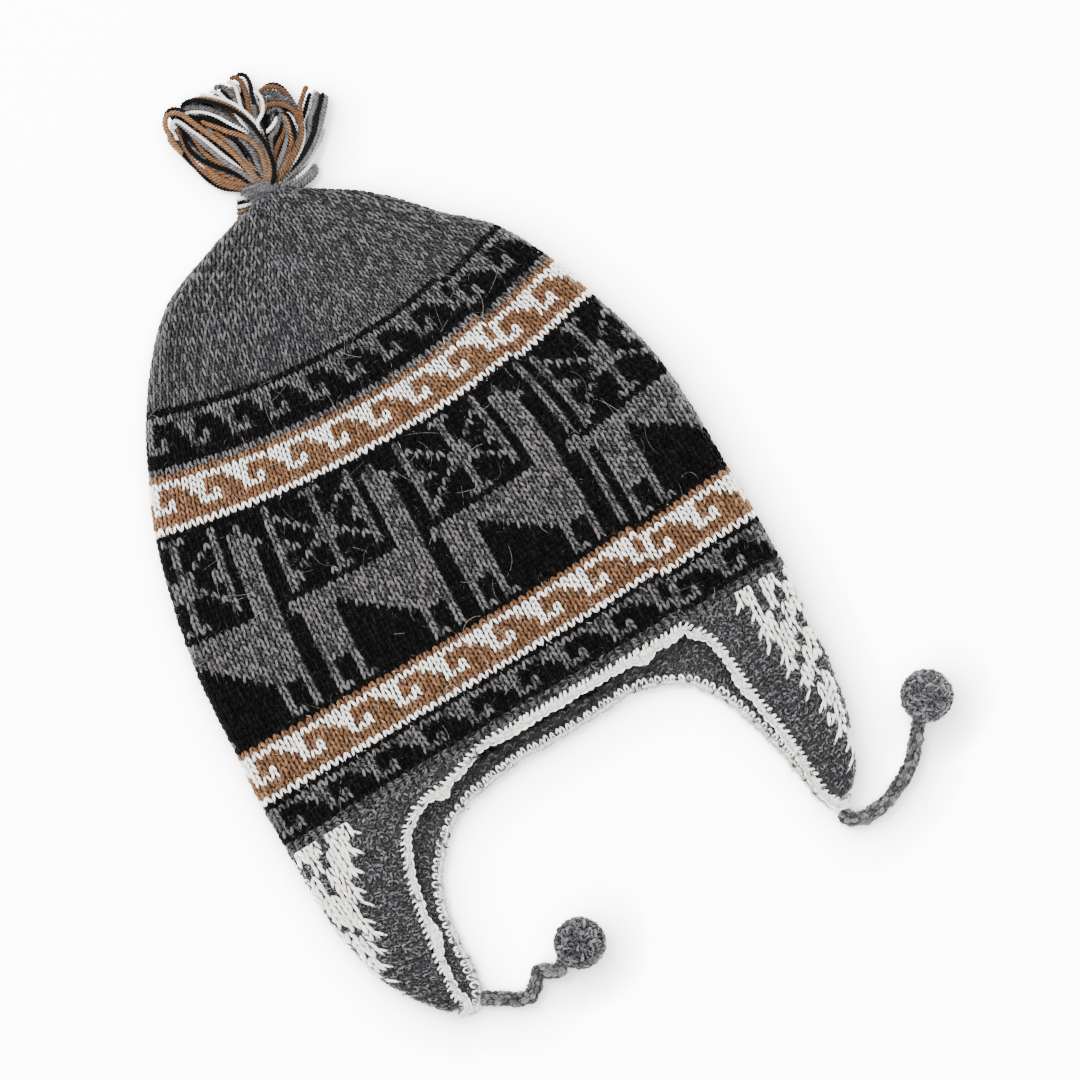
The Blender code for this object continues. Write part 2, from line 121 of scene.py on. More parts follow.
class Finish:
    """A material, and the one method that adds nodes to it."""

    def __init__(self, name):
        self.material = bpy.data.materials.new(name)
        self.material.use_nodes = True
        self.tree = self.material.node_tree
        self.shader = self.tree.nodes["Principled BSDF"]

    def node(self, kind, settings=None, sockets=None):
        """A node of that kind: its settings first, then values or links for its sockets."""
        made = self.tree.nodes.new(kind)
        for name, value in (settings or {}).items():
            if name == "stops":
                ramp = made.color_ramp
                while len(ramp.elements) < len(value):
                    ramp.elements.new(0.5)
                for element, (place, colour) in zip(ramp.elements, value):
                    element.position = place
                    element.color = (*colour, 1.0)
            elif name == "interpolation_of_ramp":
                made.color_ramp.interpolation = value
            else:
                setattr(made, name, value)
        for name, value in (sockets or {}).items():
            self.feed(made, name, value)
        return made

    def feed(self, node, name, value):
        """A socket, by name or number, gets a plain value or a link."""
        if isinstance(name, str):
            socket = next(s for s in node.inputs if name in (s.identifier, s.name) and s.enabled)
        else:
            socket = node.inputs[name]
        if isinstance(value, Value):
            value = value.socket
        if isinstance(value, bpy.types.NodeSocket):
            self.tree.links.new(value, socket)
        elif isinstance(value, tuple) and len(value) == 3 and socket.type == "RGBA":
            socket.default_value = (*value, 1.0)
        else:
            socket.default_value = value

    def value(self, kind, settings=None, sockets=None, output=0):
        return Value(self, self.node(kind, settings, sockets).outputs[output])

    def mix(self, share, first, second):
        """A colour between two others."""
        return self.node(
            "ShaderNodeMix",
            {"data_type": "RGBA", "clamp_factor": True},
            {"Factor_Float": share, "A_Color": first, "B_Color": second},
        ).outputs[2]


def wool(name, dark, light, paleness=0.5, warm=None, painted_crevice_shade=0.3, streak=0.62, sheen=0.02):
    """Spun wool: pale fibres run along dark ones, twisted with the yarn, and each stitch differs.

    It reads the yarn's own map: millimetres along it and round it, the shade of its stitch, and
    how deep in the cloth or between plies a place lies, where painted shade darkens it by the
    given share.
    """
    made = Finish(name)
    place = made.node("ShaderNodeUVMap", {"uv_map": "yarn"}).outputs[0]
    split = made.node("ShaderNodeSeparateXYZ", None, {0: place})
    along, around = (Value(made, split.outputs[i]) for i in (0, 1))
    shade = made.value("ShaderNodeAttribute", {"attribute_name": "shade"}, output=2)
    fibres = made.node("ShaderNodeCombineXYZ", None, {0: along * 0.55, 1: around * 2.3 + along * 1.1})
    streaks = made.value(
        "ShaderNodeTexNoise", {"noise_dimensions": "2D"},
        {"Vector": fibres.outputs[0], "Scale": 1.0, "Detail": 2.0, "Roughness": 0.65},
    )
    fine = made.node("ShaderNodeCombineXYZ", None, {0: along * 1.4, 1: around * 6.5 + along * 2.6})
    hairs = made.value(
        "ShaderNodeTexNoise", {"noise_dimensions": "2D"},
        {"Vector": fine.outputs[0], "Scale": 1.0, "Detail": 1.0, "Roughness": 0.5},
    )
    pale = made.value(
        "ShaderNodeMapRange", {"interpolation_type": "SMOOTHSTEP"},
        {
            "Value": streaks * 0.7 + hairs * 0.3 + (shade - 0.5) * 0.22,
            "From Min": streak - 0.16 - 0.12 * paleness, "From Max": streak + 0.16 - 0.12 * paleness,
            "To Min": 0.0, "To Max": 1.0,
        },
    )
    colour = made.mix(pale, dark, light)
    if warm:
        patch = made.value(
            "ShaderNodeMapRange", {"interpolation_type": "SMOOTHSTEP"},
            {"Value": streaks - hairs * 0.6 + shade * 0.5, "From Min": 0.50, "From Max": 0.62},
        )
        colour = made.mix(patch * 0.3, colour, warm)
    if painted_crevice_shade:
        # painted shade: the marked sides, ends and grooves are darkened towards black by the given share
        deep = made.value("ShaderNodeAttribute", {"attribute_name": "depth"}, output=2)
        colour = made.mix(deep * painted_crevice_shade, colour, tuple(c * 0.12 for c in dark))
    made.feed(made.shader, "Base Color", colour)
    relief = made.node(
        "ShaderNodeBump", None,
        {"Strength": 0.35, "Distance": 0.0004, "Height": streaks * 0.6 + hairs * 0.4},
    )
    made.feed(made.shader, "Normal", relief.outputs[0])
    made.feed(made.shader, "Roughness", 0.92)
    made.feed(made.shader, "Specular IOR Level", 0.07)
    made.feed(made.shader, "Sheen Weight", sheen)
    made.feed(made.shader, "Sheen Roughness", 0.5)
    return made.material


NO_TRIANGLES = np.zeros((0, 3), int)


def ring_quads(rows, around, wrap=False, turned=False):
    """Quads between rings of points; wrap joins the last ring to the first, turned faces them back."""
    i = np.arange(rows if wrap else rows - 1)[:, None] * around
    after = (i + around) % (rows * around)
    j = np.arange(around)
    k = (j + 1) % around
    sides = (i + j, after + j, after + k, i + k) if turned else (i + j, i + k, after + k, after + j)
    return np.stack(sides, axis=-1).reshape(-1, 4)


def add_mesh(name, points, quads, triangles, material, uv=None, shade=None, depth=None):
    """A mesh piece from arrays: points in millimetres, then faces of four and of three corners.
    """
    mesh = bpy.data.meshes.new(name)
    points = np.ascontiguousarray(points, np.float32) * np.float32(MM)
    corners = np.concatenate([quads.reshape(-1), triangles.reshape(-1)]).astype(np.int32)
    sizes = np.concatenate([np.full(len(quads), 4), np.full(len(triangles), 3)])
    starts = np.concatenate([[0], np.cumsum(sizes)[:-1]]).astype(np.int32)
    mesh.vertices.add(len(points))
    mesh.vertices.foreach_set("co", points.reshape(-1))
    mesh.loops.add(len(corners))
    mesh.loops.foreach_set("vertex_index", corners)
    mesh.polygons.add(len(sizes))
    mesh.polygons.foreach_set("loop_start", starts)
    mesh.update(calc_edges=True)
    if uv is not None:
        layer = mesh.uv_layers.new(name="yarn")
        layer.data.foreach_set("uv", np.asarray(uv, np.float32)[corners].reshape(-1))
    # depth carries the share of painted shade that the wool darkens with
    for layer_name, values in (("shade", shade), ("depth", depth)):
        if values is not None:
            layer = mesh.attributes.new(layer_name, "FLOAT", "POINT")
            layer.data.foreach_set("value", np.asarray(values, np.float32))
    mesh.shade_smooth()
    mesh.materials.append(material)
    made = bpy.data.objects.new(name, mesh)
    bpy.context.scene.collection.objects.link(made)
    return made


def angles(sides):
    """Angles of that many points round a ring."""
    return np.arange(sides) * 2 * math.pi / sides


def tube_arrays(rings, first, last, deep=None):
    """Closed tubes with pointed ends as mesh arrays.

    rings is (tubes, rings, sides, 3), first and last are the end points (tubes, 3). The map runs
    in millimetres along a tube from a random start, and round it. deep, for each side, marks it
    for painted shade, which the wool darkens: by default the lower sides, and both ends partly.
    """
    tubes, levels, sides = rings.shape[:3]
    body = rings.reshape(tubes, levels * sides, 3)
    points = np.concatenate([body, first[:, None], last[:, None]], axis=1)
    per = levels * sides + 2
    j = np.arange(sides)
    k = (j + 1) % sides
    quads = ring_quads(levels, sides)
    end = (levels - 1) * sides
    fans = np.concatenate([
        np.stack([k, j, np.full(sides, per - 2)], axis=-1),
        np.stack([end + j, end + k, np.full(sides, per - 1)], axis=-1),
    ])
    a, b, c = (points[0, fans[:, i]] for i in range(3))
    p, q, r, s = (points[0, quads[:, i]] for i in range(4))
    volume = np.sum(a * np.cross(b, c)) + np.sum(p * np.cross(q, r)) + np.sum(p * np.cross(r, s))
    if volume < 0:
        quads, fans = quads[:, ::-1], fans[:, ::-1]
    base = np.arange(tubes)[:, None] * per
    quads = (quads.reshape(1, -1) + base).reshape(-1, 4)
    fans = (fans.reshape(1, -1) + base).reshape(-1, 3)
    middle = np.concatenate([first[:, None], rings.mean(axis=2), last[:, None]], axis=1)
    run = np.cumsum(np.linalg.norm(np.diff(middle, axis=1), axis=2), axis=1)
    along = np.repeat(run[:, :levels], sides, axis=1)
    width = np.linalg.norm(rings[:, :, 0] - rings[:, :, sides // 2], axis=2).max(axis=1)
    turn = np.abs(2 * j / sides - 1)
    across = np.tile(turn, levels)[None] * width[:, None] * 1.5
    start = rng.uniform(0, 400, (tubes, 2))
    uv = np.zeros((tubes, per, 2))
    uv[:, :-2, 0] = along
    uv[:, :-2, 1] = across
    uv[:, -1, 0] = run[:, -1]
    uv += start[:, None]
    shade = np.repeat(rng.uniform(0, 1, tubes), per)
    if deep is None:
        deep = np.sin(2 * math.pi * j / sides + math.pi / sides) < -0.01
    # share of painted shade: 1 on the marked sides, 0.7 at both pointed ends
    depth = np.tile(np.concatenate([np.tile(deep * 1.0, levels), [0.7, 0.7]]), tubes)
    return points.reshape(-1, 3), quads, fans, uv.reshape(-1, 2), shade, depth


def add_yarn(name, parts, material):
    """Several sets of tubes as one mesh piece."""
    starts = np.cumsum([0] + [len(part[0]) for part in parts])
    shifted = [(p[0], p[1] + start, p[2] + start, *p[3:]) for p, start in zip(parts, starts)]
    points, quads, triangles, *maps = (np.concatenate(column) for column in zip(*shifted))
    return add_mesh(name, points, quads, triangles, material, *maps)


def stitch_tubes(
    surface, seat, column, row, pitch, height, shape, rings, sides, mess=1.0, spin=0.0, shear=0.0
):
    """One yarn stroke for each stitch, laid on a surface.

    surface(seat, column, row, lift) gives points in millimetres. shape(t) gives a stroke's middle
    as columns across, rows down and millimetres of lift, then its half width and half thickness
    in columns. Each ring of the tube lies square to the stroke within the cloth. mess scales the
    random differences, and spin is how far strokes are turned, in radians. shear is how far, in
    millimetres, each next row is shifted along itself there; strokes stand square to rows anyway.
    """
    n = len(column)
    shear = np.broadcast_to(shear, n)[:, None, None]
    t = np.linspace(0, 1, rings + 2)
    across, down, lift, wide, tall = shape(t)
    pitch = np.broadcast_to(pitch, n)[:, None]
    height = np.broadcast_to(height, n)[:, None]
    grow = 1 + mess * rng.normal(0, 0.07, (n, 1))
    lean = mess * rng.normal(0, 0.05, (n, 1))
    x = across * pitch * grow + lean * down * height + mess * rng.normal(0, 0.09, (n, 1))
    y = down * height * grow + mess * rng.normal(0, 0.12, (n, 1))
    up = lift + mess * rng.normal(0, 0.10, (n, 1))
    angle = spin * rng.normal(0, 1, (n, 1))
    x, y = x * np.cos(angle) - y * np.sin(angle), x * np.sin(angle) + y * np.cos(angle)
    run = np.stack([np.gradient(x, axis=1), np.gradient(y, axis=1)], axis=-1)
    run /= np.linalg.norm(run, axis=2)[..., None]
    angle = angles(sides) + math.pi / sides
    thick = 1 + mess * rng.normal(0, 0.08, (n, 1, 1))
    size_w = (wide * pitch)[:, :, None] * np.cos(angle) * thick
    size_t = (tall * pitch)[:, :, None] * np.sin(angle) * thick
    ring_x = x[:, :, None] - run[..., 1:2] * size_w
    ring_y = y[:, :, None] + run[..., 0:1] * size_w
    ring_z = up[:, :, None] + size_t
    c = column[:, None, None] + (ring_x - shear * ring_y / height[:, :, None]) / pitch[:, :, None]
    v = row[:, None, None] + ring_y / height[:, :, None]
    place = surface(np.broadcast_to(seat, n)[:, None, None], c, v, ring_z)
    rings_at = place[:, 1:-1]
    return tube_arrays(rings_at, place[:, 0].mean(axis=1), place[:, -1].mean(axis=1))


def hairs(surface, seat, column, row, pitch, height, reach, thick, high, bend=1.2, knots=3):
    """Thin fibres that stand off a surface: each goes any way, curls, and rises off the cloth.

    reach is their mean length and high how far they rise, in millimetres.
    """
    n = len(column)
    t = np.linspace(0, 1, knots)
    turn = rng.uniform(0, 2 * math.pi, (n, 1)) + bend * rng.normal(0, 1, (n, 1)) * t
    step = reach * rng.uniform(0.4, 1.5, (n, 1)) / (knots - 1)
    x = np.cumsum(np.cos(turn) * step, axis=1)
    y = np.cumsum(np.sin(turn) * step, axis=1)
    top = high * rng.uniform(0.3, 1.2, (n, 1))
    lift = 0.1 + top * np.sin(math.pi * t * rng.uniform(0.5, 1.0, (n, 1)))
    pitch = np.broadcast_to(pitch, n)[:, None]
    seat = np.broadcast_to(seat, n)[:, None]
    line = surface(seat, column[:, None] + x / pitch, row[:, None] + y / height, lift)
    return fine_tubes(line, thick)


def tufts(surface, seat, column, row, pitch, height, which, *size):
    """Hairs anywhere in some of the stitches, by number; size says what hairs takes after them."""
    jitter = rng.uniform(-0.5, 0.5, (2, len(which)))
    seat, pitch = (np.broadcast_to(x, len(column))[which] for x in (seat, pitch))
    return hairs(surface, seat, column[which] + jitter[0], row[which] + jitter[1], pitch, height, *size)


def fine_tubes(line, thick):
    """Three-sided tubes along lines (tubes, points, 3), pointed at both ends."""
    run = np.gradient(line, axis=1)
    run /= np.linalg.norm(run, axis=2)[..., None] + 1e-9
    side = np.cross(run, (0.0, 0.02, 1.0))
    side /= np.linalg.norm(side, axis=2)[..., None] + 1e-9
    up = np.cross(side, run)
    angle = angles(3)[:, None] + 0.5
    round_it = np.cos(angle) * side[:, :, None] + np.sin(angle) * up[:, :, None]
    rings = line[:, :, None] + thick * round_it
    return tube_arrays(rings[:, 1:-1], line[:, 0], line[:, -1])


def swell(t, power):
    """A stroke's thickness along it: a half sine to a power, so that it ends in points."""
    return np.sin(math.pi * np.clip(t, 0, 1)) ** power


def leg(side, spread=0.42, top=-0.86, bottom=0.84, wide=0.225, tall=0.18, sink=-0.45, rise=0.82):
    """A leg of a knit stitch: from its point at the middle, down and out to one side.

    The middle runs from column 0.04 to spread and from row top to bottom; its lift is a half
    sine and its thickness the root of one, so both ends sink into the cloth.
    """
    def shape(t):
        across = side * (0.04 + (spread - 0.04) * t ** 0.85)
        down = top + (bottom - top) * t
        thick = swell(t, 0.55)
        return across, down, sink + rise * np.sin(math.pi * t) ** 0.8, wide * thick, tall * thick
    return shape


def arc(way, centre=0.0, wide=0.19, tall=0.17, sink=-0.35, rise=0.8, span=1.12):
    """A purl bump: a low bow across the column, humped up (way 1) or down (way -1)."""
    def shape(t):
        across = centre + span * (t - 0.5)
        down = way * (0.30 - 0.55 * np.sin(math.pi * t))
        thick = swell(t, 0.5)
        return across, down, sink + rise * np.sin(math.pi * t) ** 0.8, wide * thick, tall * thick
    return shape


def lengths(points):
    """How far along a line each of its points lies."""
    return np.concatenate([[0], np.cumsum(np.linalg.norm(np.diff(points, axis=0), axis=1))])


def route_frames(route, z, step):
    """Points about step apart on a smooth curve through a route, with its side and length.

    The curve is a chain of cubics whose slope at each point is the mean of both sides.
    """
    points = np.array(route, float)
    reach = lengths(points)
    count = int(round(reach[-1] / step)) + 1
    at = np.linspace(0, reach[-1], count)
    plan = cubic(reach, points, at)
    line = np.column_stack([plan, np.full(count, z)])
    run = np.gradient(plan, axis=0)
    run /= np.linalg.norm(run, axis=1)[:, None]
    side = np.column_stack([run[:, 1], -run[:, 0], np.zeros(count)])
    return line, side, lengths(plan)


def cubic(knots, data, at):
    """Rows of data at other knots, on cubics whose slope is the mean of both sides."""
    knots = np.asarray(knots, float)
    data = np.asarray(data, float)
    steps = np.diff(data, axis=0) / np.diff(knots)[:, None]
    slopes = np.vstack([steps[:1], (steps[1:] + steps[:-1]) / 2, steps[-1:]])
    at = np.asarray(at, float)
    k = np.clip(np.searchsorted(knots, at, side="right") - 1, 0, len(knots) - 2)
    h = (knots[k + 1] - knots[k])[..., None]
    t = (at - knots[k])[..., None] / h
    return (
        (2 * t**3 - 3 * t**2 + 1) * data[k]
        + (t**3 - 2 * t**2 + t) * h * slopes[k]
        + (3 * t**2 - 2 * t**3) * data[k + 1]
        + (t**3 - t**2) * h * slopes[k + 1]
    )


def cord_surface(line, side, length, radius):
    """Places round a cord: column round it in stitches, row along it, lift off its surface."""
    def surface(seat, column, row, lift):
        at = np.clip(row * TIE_ROW, 0, length[-1])
        centre = np.stack([np.interp(at, length, line[:, i]) for i in range(3)], axis=-1)
        out = np.stack([np.interp(at, length, side[:, i]) for i in range(3)], axis=-1)
        turn = column * 2 * math.pi / TIE_ROUND
        up = np.array([0.0, 0.0, 1.0])
        far = (radius + lift)[..., None]
        return centre + far * (np.cos(turn)[..., None] * out + np.sin(turn)[..., None] * up)
    return surface


def plain_tube(line, side, radius, sides=8):
    """A round closed tube along a line, its ends closed flat at the line's end points."""
    up = np.cross(side, np.gradient(line, axis=0))
    up /= np.linalg.norm(up, axis=1)[:, None]
    angle = angles(sides)
    rings = line[:, None] + radius * (
        np.cos(angle)[None, :, None] * side[:, None] + np.sin(angle)[None, :, None] * up[:, None]
    )
    return tube_arrays(rings[None], line[:1], line[-1:])


tie_wool = wool("tie_wool", FLAP_DARK, FLAP_LIGHT, 0.6)
ties = {}
for name, route in (("left", TIE_LEFT_ROUTE), ("right", TIE_RIGHT_ROUTE)):
    line, side, length = route_frames(route, TIE_Z, 0.8)
    radius = TIE_D / 2 - TIE_SKIN
    rows = np.arange(0.5, length[-1] / TIE_ROW - 0.3)
    column, row = (x.reshape(-1) for x in np.meshgrid(np.arange(TIE_ROUND) + 0.5, rows))
    row = row + 0.5 * (np.floor(column) % 2)
    surface = cord_surface(line, side, length, radius)
    parts = [plain_tube(line, side, radius)]
    pitch = 2 * math.pi * radius / TIE_ROUND * 1.25
    for way in (-1, 1):
        parts.append(stitch_tubes(
            surface, 0.0, column, row, pitch, TIE_ROW,
            leg(way, spread=0.42, wide=0.3, tall=0.3, sink=-0.5, rise=1.6), 4, 5, 2.0,
        ))
    which = rng.integers(0, len(column), TIE_HAIRS)
    parts.append(hairs(surface, 0.0, column[which], row[which], pitch, TIE_ROW, 2.0, HAIR, 1.0))
    ties[name] = (add_yarn(f"tie_{name}_yarn", parts, tie_wool), line)

# Pompoms
# Small crocheted balls of the ties' wool, stuffed with more of it, round after round of short
# stitches. Each hangs at the end of its tie and lies on the floor.
POMPOMS = {"left": (-30.5, -193.9, 22.0, 21.0), "right": (147.5, -172.0, 22.4, 21.0)}
BALL_ROWS = 9
BALL_ROW = 3.3
BALL_SKIN = 0.9                 # how far its stitches stand round its core
BALL_STITCH = 3.7
BALL_HAIRS = 1600


def ball_surface(x, y, across, tall):
    """Places on a ball: the row is the angle down from its top, the column runs round it."""
    def surface(seat, column, row, lift):
        down = np.clip(row / BALL_ROWS, 0.001, 0.999) * math.pi
        turn = column * 2 * math.pi / seat
        flat, high = across / 2 - BALL_SKIN + lift, tall / 2 - BALL_SKIN + lift
        return np.stack([
            x + flat * np.sin(down) * np.cos(turn),
            y + flat * np.sin(down) * np.sin(turn),
            tall / 2 + high * np.cos(down),
        ], axis=-1)
    return surface


for name, (x, y, across, tall) in POMPOMS.items():
    surface = ball_surface(x, y, across, tall)
    widest = 2 * math.pi * (across / 2 - BALL_SKIN)
    seats, columns, rows = [], [], []
    for i in range(BALL_ROWS):
        girth = widest * math.sin(math.pi * (i + 0.5) / BALL_ROWS)
        count = max(4, round(girth / BALL_STITCH))
        seats.append(np.full(count, count))
        columns.append(np.arange(count) + 0.5 * (i % 2))
        rows.append(np.full(count, i + 0.5))
    seat, column, row = (np.concatenate(k).astype(float) for k in (seats, columns, rows))
    pitch = widest * np.sin(math.pi * row / BALL_ROWS) / seat
    grid_c, grid_r = np.meshgrid(np.arange(24) * 1.0, np.linspace(0.7, BALL_ROWS - 0.7, 13))
    core = surface(24.0, grid_c, grid_r, -0.8 * np.ones_like(grid_c))
    poles = [surface(24.0, np.zeros(1), np.array([e]), np.full(1, -0.8)) for e in (0.0, BALL_ROWS)]
    parts = [tube_arrays(core[None], *poles)]
    for way in (-1, 1):
        parts.append(stitch_tubes(
            surface, seat, column, row, pitch, BALL_ROW,
            leg(way, spread=0.4, wide=0.2, tall=0.18, sink=-0.5, rise=1.0), 3, 4, 2.2, 0.7,
        ))
        parts.append(stitch_tubes(
            surface, seat, column + 0.25 * way, row, pitch, BALL_ROW,
            arc(way, 0.5, wide=0.17, tall=0.17, sink=-0.5, rise=1.0), 3, 4, 2.4, 0.9,
        ))
    which = rng.integers(0, len(column), BALL_HAIRS)
    parts.append(tufts(surface, seat, column, row, pitch, BALL_ROW, which, 2.4, HAIR, 1.3))
    ball = add_yarn(f"pompom_{name}_yarn", parts, tie_wool)
    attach(ball, "root")
    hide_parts(f"pompom_{name}")
    tie, line = ties[name]
    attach(tie, "root")
    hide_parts(f"tie_{name}")
    float(lengths(line)[-1]) * MM

# Crown, the cloth
# A tube of stranded wool knitting that closes at the tip, here lying flat on its back. This is
# the ground between and behind its stitches, with the inner face that shows at the mouth.
STITCHES = 128
RIM_ROW = 97
PLAIN_ROWS = 28
WALL = 3.0
EDGE_R = 5.0
GROUND = 0.8                    # how deep the ground lies under the cloth's outer face
CROWN = ("row", "left_x", "left_y", "right_x", "right_y", "front_y", "back_y", "height")
CROWN_ROWS = (
    (0, -0.5, 146.2, 10.5, 146.2, 146.0, 146.2, 7.6),
    (5, -18.0, 140.3, 24.5, 137.6, 134.0, 136.0, 12.0),
    (10, -36.0, 133.6, 38.6, 129.0, 121.5, 126.0, 15.0),
    (15, -52.5, 126.3, 51.5, 118.0, 108.8, 114.0, 18.0),
    (20, -66.0, 114.5, 63.0, 106.0, 96.0, 102.0, 20.5),
    (28, -84.0, 89.5, 82.0, 89.0, 75.8, 82.0, 23.5),
    (37, -96.6, 64.1, 95.6, 66.0, 51.5, 58.0, 25.5),
    (46, -105.8, 41.0, 104.0, 44.0, 30.5, 37.0, 26.5),
    (57, -113.6, 8.6, 114.2, 13.7, 2.3, 8.0, 27.0),
    (68, -118.2, -23.3, 118.2, -16.6, -26.3, -22.0, 26.5),
    (79, -119.4, -55.7, 119.4, -47.3, -54.4, -54.0, 24.5),
    (88, -120.4, -80.0, 120.3, -71.2, -76.2, -82.0, 21.5),
    (97, -119.8, -104.0, 120.5, -95.6, -98.1, -111.8, 17.5),
)
DENTS = (                       # where each hollow begins and ends, how deep and wide it is
    (2.0, 122.0, 50.0, 88.0, 3.6, 9.0), (-26.0, 112.0, -44.0, 80.0, 1.6, 9.0),
)
TOP_PITCH = 3.0                 # width of a stitch near the tip


def crown_row(row):
    """The crown's values at rows: a cubic through the table, by name."""
    table = np.array(CROWN_ROWS)
    values = cubic(table[:, 0], table[:, 1:], row)
    c = {name: values[..., i] for i, name in enumerate(CROWN[1:])}
    c["half"] = np.hypot(c["right_x"] - c["left_x"], c["right_y"] - c["left_y"]) / 2
    c["r"] = np.minimum(np.minimum(EDGE_R, c["height"] * 0.48), c["half"] * 0.8)
    c["girth"] = 4 * (c["half"] - c["r"]) + 2 * math.pi * c["r"]
    return c


def hump(t):
    """0 to 1, level at both ends."""
    t = np.clip(t, 0.0, 1.0)
    return t * t * (3 - 2 * t)


def crown_at(share, row, lift):
    """A place on the crown: share of the way round from the left fold over the front, and row.

    The ends of a row are half circles, its back is flat, and its front is a smooth hump. lift is
    how far the place stands off the outer face.
    """
    share = share % 1.0
    c = crown_row(row)
    half, r, girth = c["half"], c["r"], c["girth"]
    back = share > 0.5
    s = np.where(back, 1 - share, share) * girth
    quarter = math.pi * r / 2
    mirrored = s > girth / 4
    near = np.where(mirrored, girth / 2 - s, s)
    turn = np.minimum(near / r, math.pi / 2)
    depth = r + lift
    a = np.where(near < quarter, r - depth * np.cos(turn), r + near - quarter)
    a = np.where(mirrored, 2 * half - a, a)
    rise = hump(np.minimum(a - r, 2 * half - r - a) / (half - r))
    top = np.where(near < quarter, r + depth * np.sin(turn), 2 * r + (c["height"] - 2 * r) * rise + lift)
    low = np.where(near < quarter, r - depth * np.sin(turn), -lift)
    z = np.where(back, low, top)
    face = (1 + np.where(back, -1, 1) * np.sin(turn)) / 2
    k = a / half - 1
    x = c["left_x"] + (c["right_x"] - c["left_x"]) * (k + 1) / 2
    y = c["left_y"] + (c["right_y"] - c["left_y"]) * (k + 1) / 2
    middle = (c["left_y"] + c["right_y"]) / 2
    y = y + (face * (c["front_y"] - middle) + (1 - face) * (c["back_y"] - middle)) * (1 - k * k)
    for x0, y0, x1, y1, deep, spread in DENTS:
        run = np.array([x1 - x0, y1 - y0])
        along = np.clip(((x - x0) * run[0] + (y - y0) * run[1]) / (run @ run), 0, 1)
        away = np.hypot(x - x0 - along * run[0], y - y0 - along * run[1])
        z = z - np.where(back, 0, deep * np.exp(-((away / spread) ** 2)) * rise)
    return np.stack([x, y, z], axis=-1)


def pitch_at(row):
    """Width of a stitch in a row: the girth over all stitches, and more where they are fewer."""
    c = crown_row(np.maximum(row, 0))
    even = c["girth"] / STITCHES
    last = crown_row(np.array(float(PLAIN_ROWS)))["girth"] / STITCHES
    plain = last + (TOP_PITCH - last) * hump((PLAIN_ROWS - row) / 18)
    return np.where(row >= PLAIN_ROWS, even, plain)


def specks(made):
    """Fine specks fixed in the cloth, for a material made there."""
    where = made.node("ShaderNodeTexCoord").outputs["Object"]
    return made.value("ShaderNodeTexNoise", None, {"Vector": where, "Scale": 1400.0, "Detail": 2.0})


CHART_YARNS = {
    "K": (0.0008, 0.0007, 0.0009), "G": (0.0150, 0.0143, 0.0156), "B": (0.0578, 0.0218, 0.0075),
}
BAND_ROWS = ((0, "G"), (28, "K"), (37, "B"), (46, "K"), (79, "B"), (88, "K"), (95, "G"))
ground = Finish("crown_ground_wool")
uv = ground.node("ShaderNodeUVMap", {"uv_map": "yarn"}).outputs[0]
row_at = Value(ground, ground.node("ShaderNodeSeparateXYZ", None, {0: uv}).outputs[1])
bands = ground.node(
    "ShaderNodeValToRGB",
    {
        "interpolation_of_ramp": "CONSTANT",
        "stops": [(first / RIM_ROW, CHART_YARNS[key]) for first, key in BAND_ROWS],
    },
    {0: row_at},
).outputs[0]
speck = specks(ground)
ground.feed(ground.shader, "Base Color", ground.mix(speck * 0.9, (0.0015, 0.0015, 0.0017), bands))
ground.feed(ground.shader, "Roughness", 0.95)
rough = ground.node("ShaderNodeBump", None, {"Strength": 0.6, "Distance": 0.0008, "Height": speck})
ground.feed(ground.shader, "Normal", rough.outputs[0])

share, row = np.meshgrid(np.linspace(0, 1, 129)[:-1], np.linspace(0, RIM_ROW, 50))
outer = crown_at(share, row, np.full_like(row, -GROUND))
inner = crown_at(share, row, np.full_like(row, -WALL))
sheet = np.concatenate([outer, inner[::-1]])     # out over the cloth, and back inside it
uv = np.column_stack([share.reshape(-1), row.reshape(-1) / RIM_ROW])
uv = np.concatenate([uv, uv.reshape(50, 128, 2)[::-1].reshape(-1, 2)])
cloth = add_mesh(
    "crown_ground", sheet.reshape(-1, 3), ring_quads(len(sheet), 128, turned=True), NO_TRIANGLES,
    ground.material, uv,
)

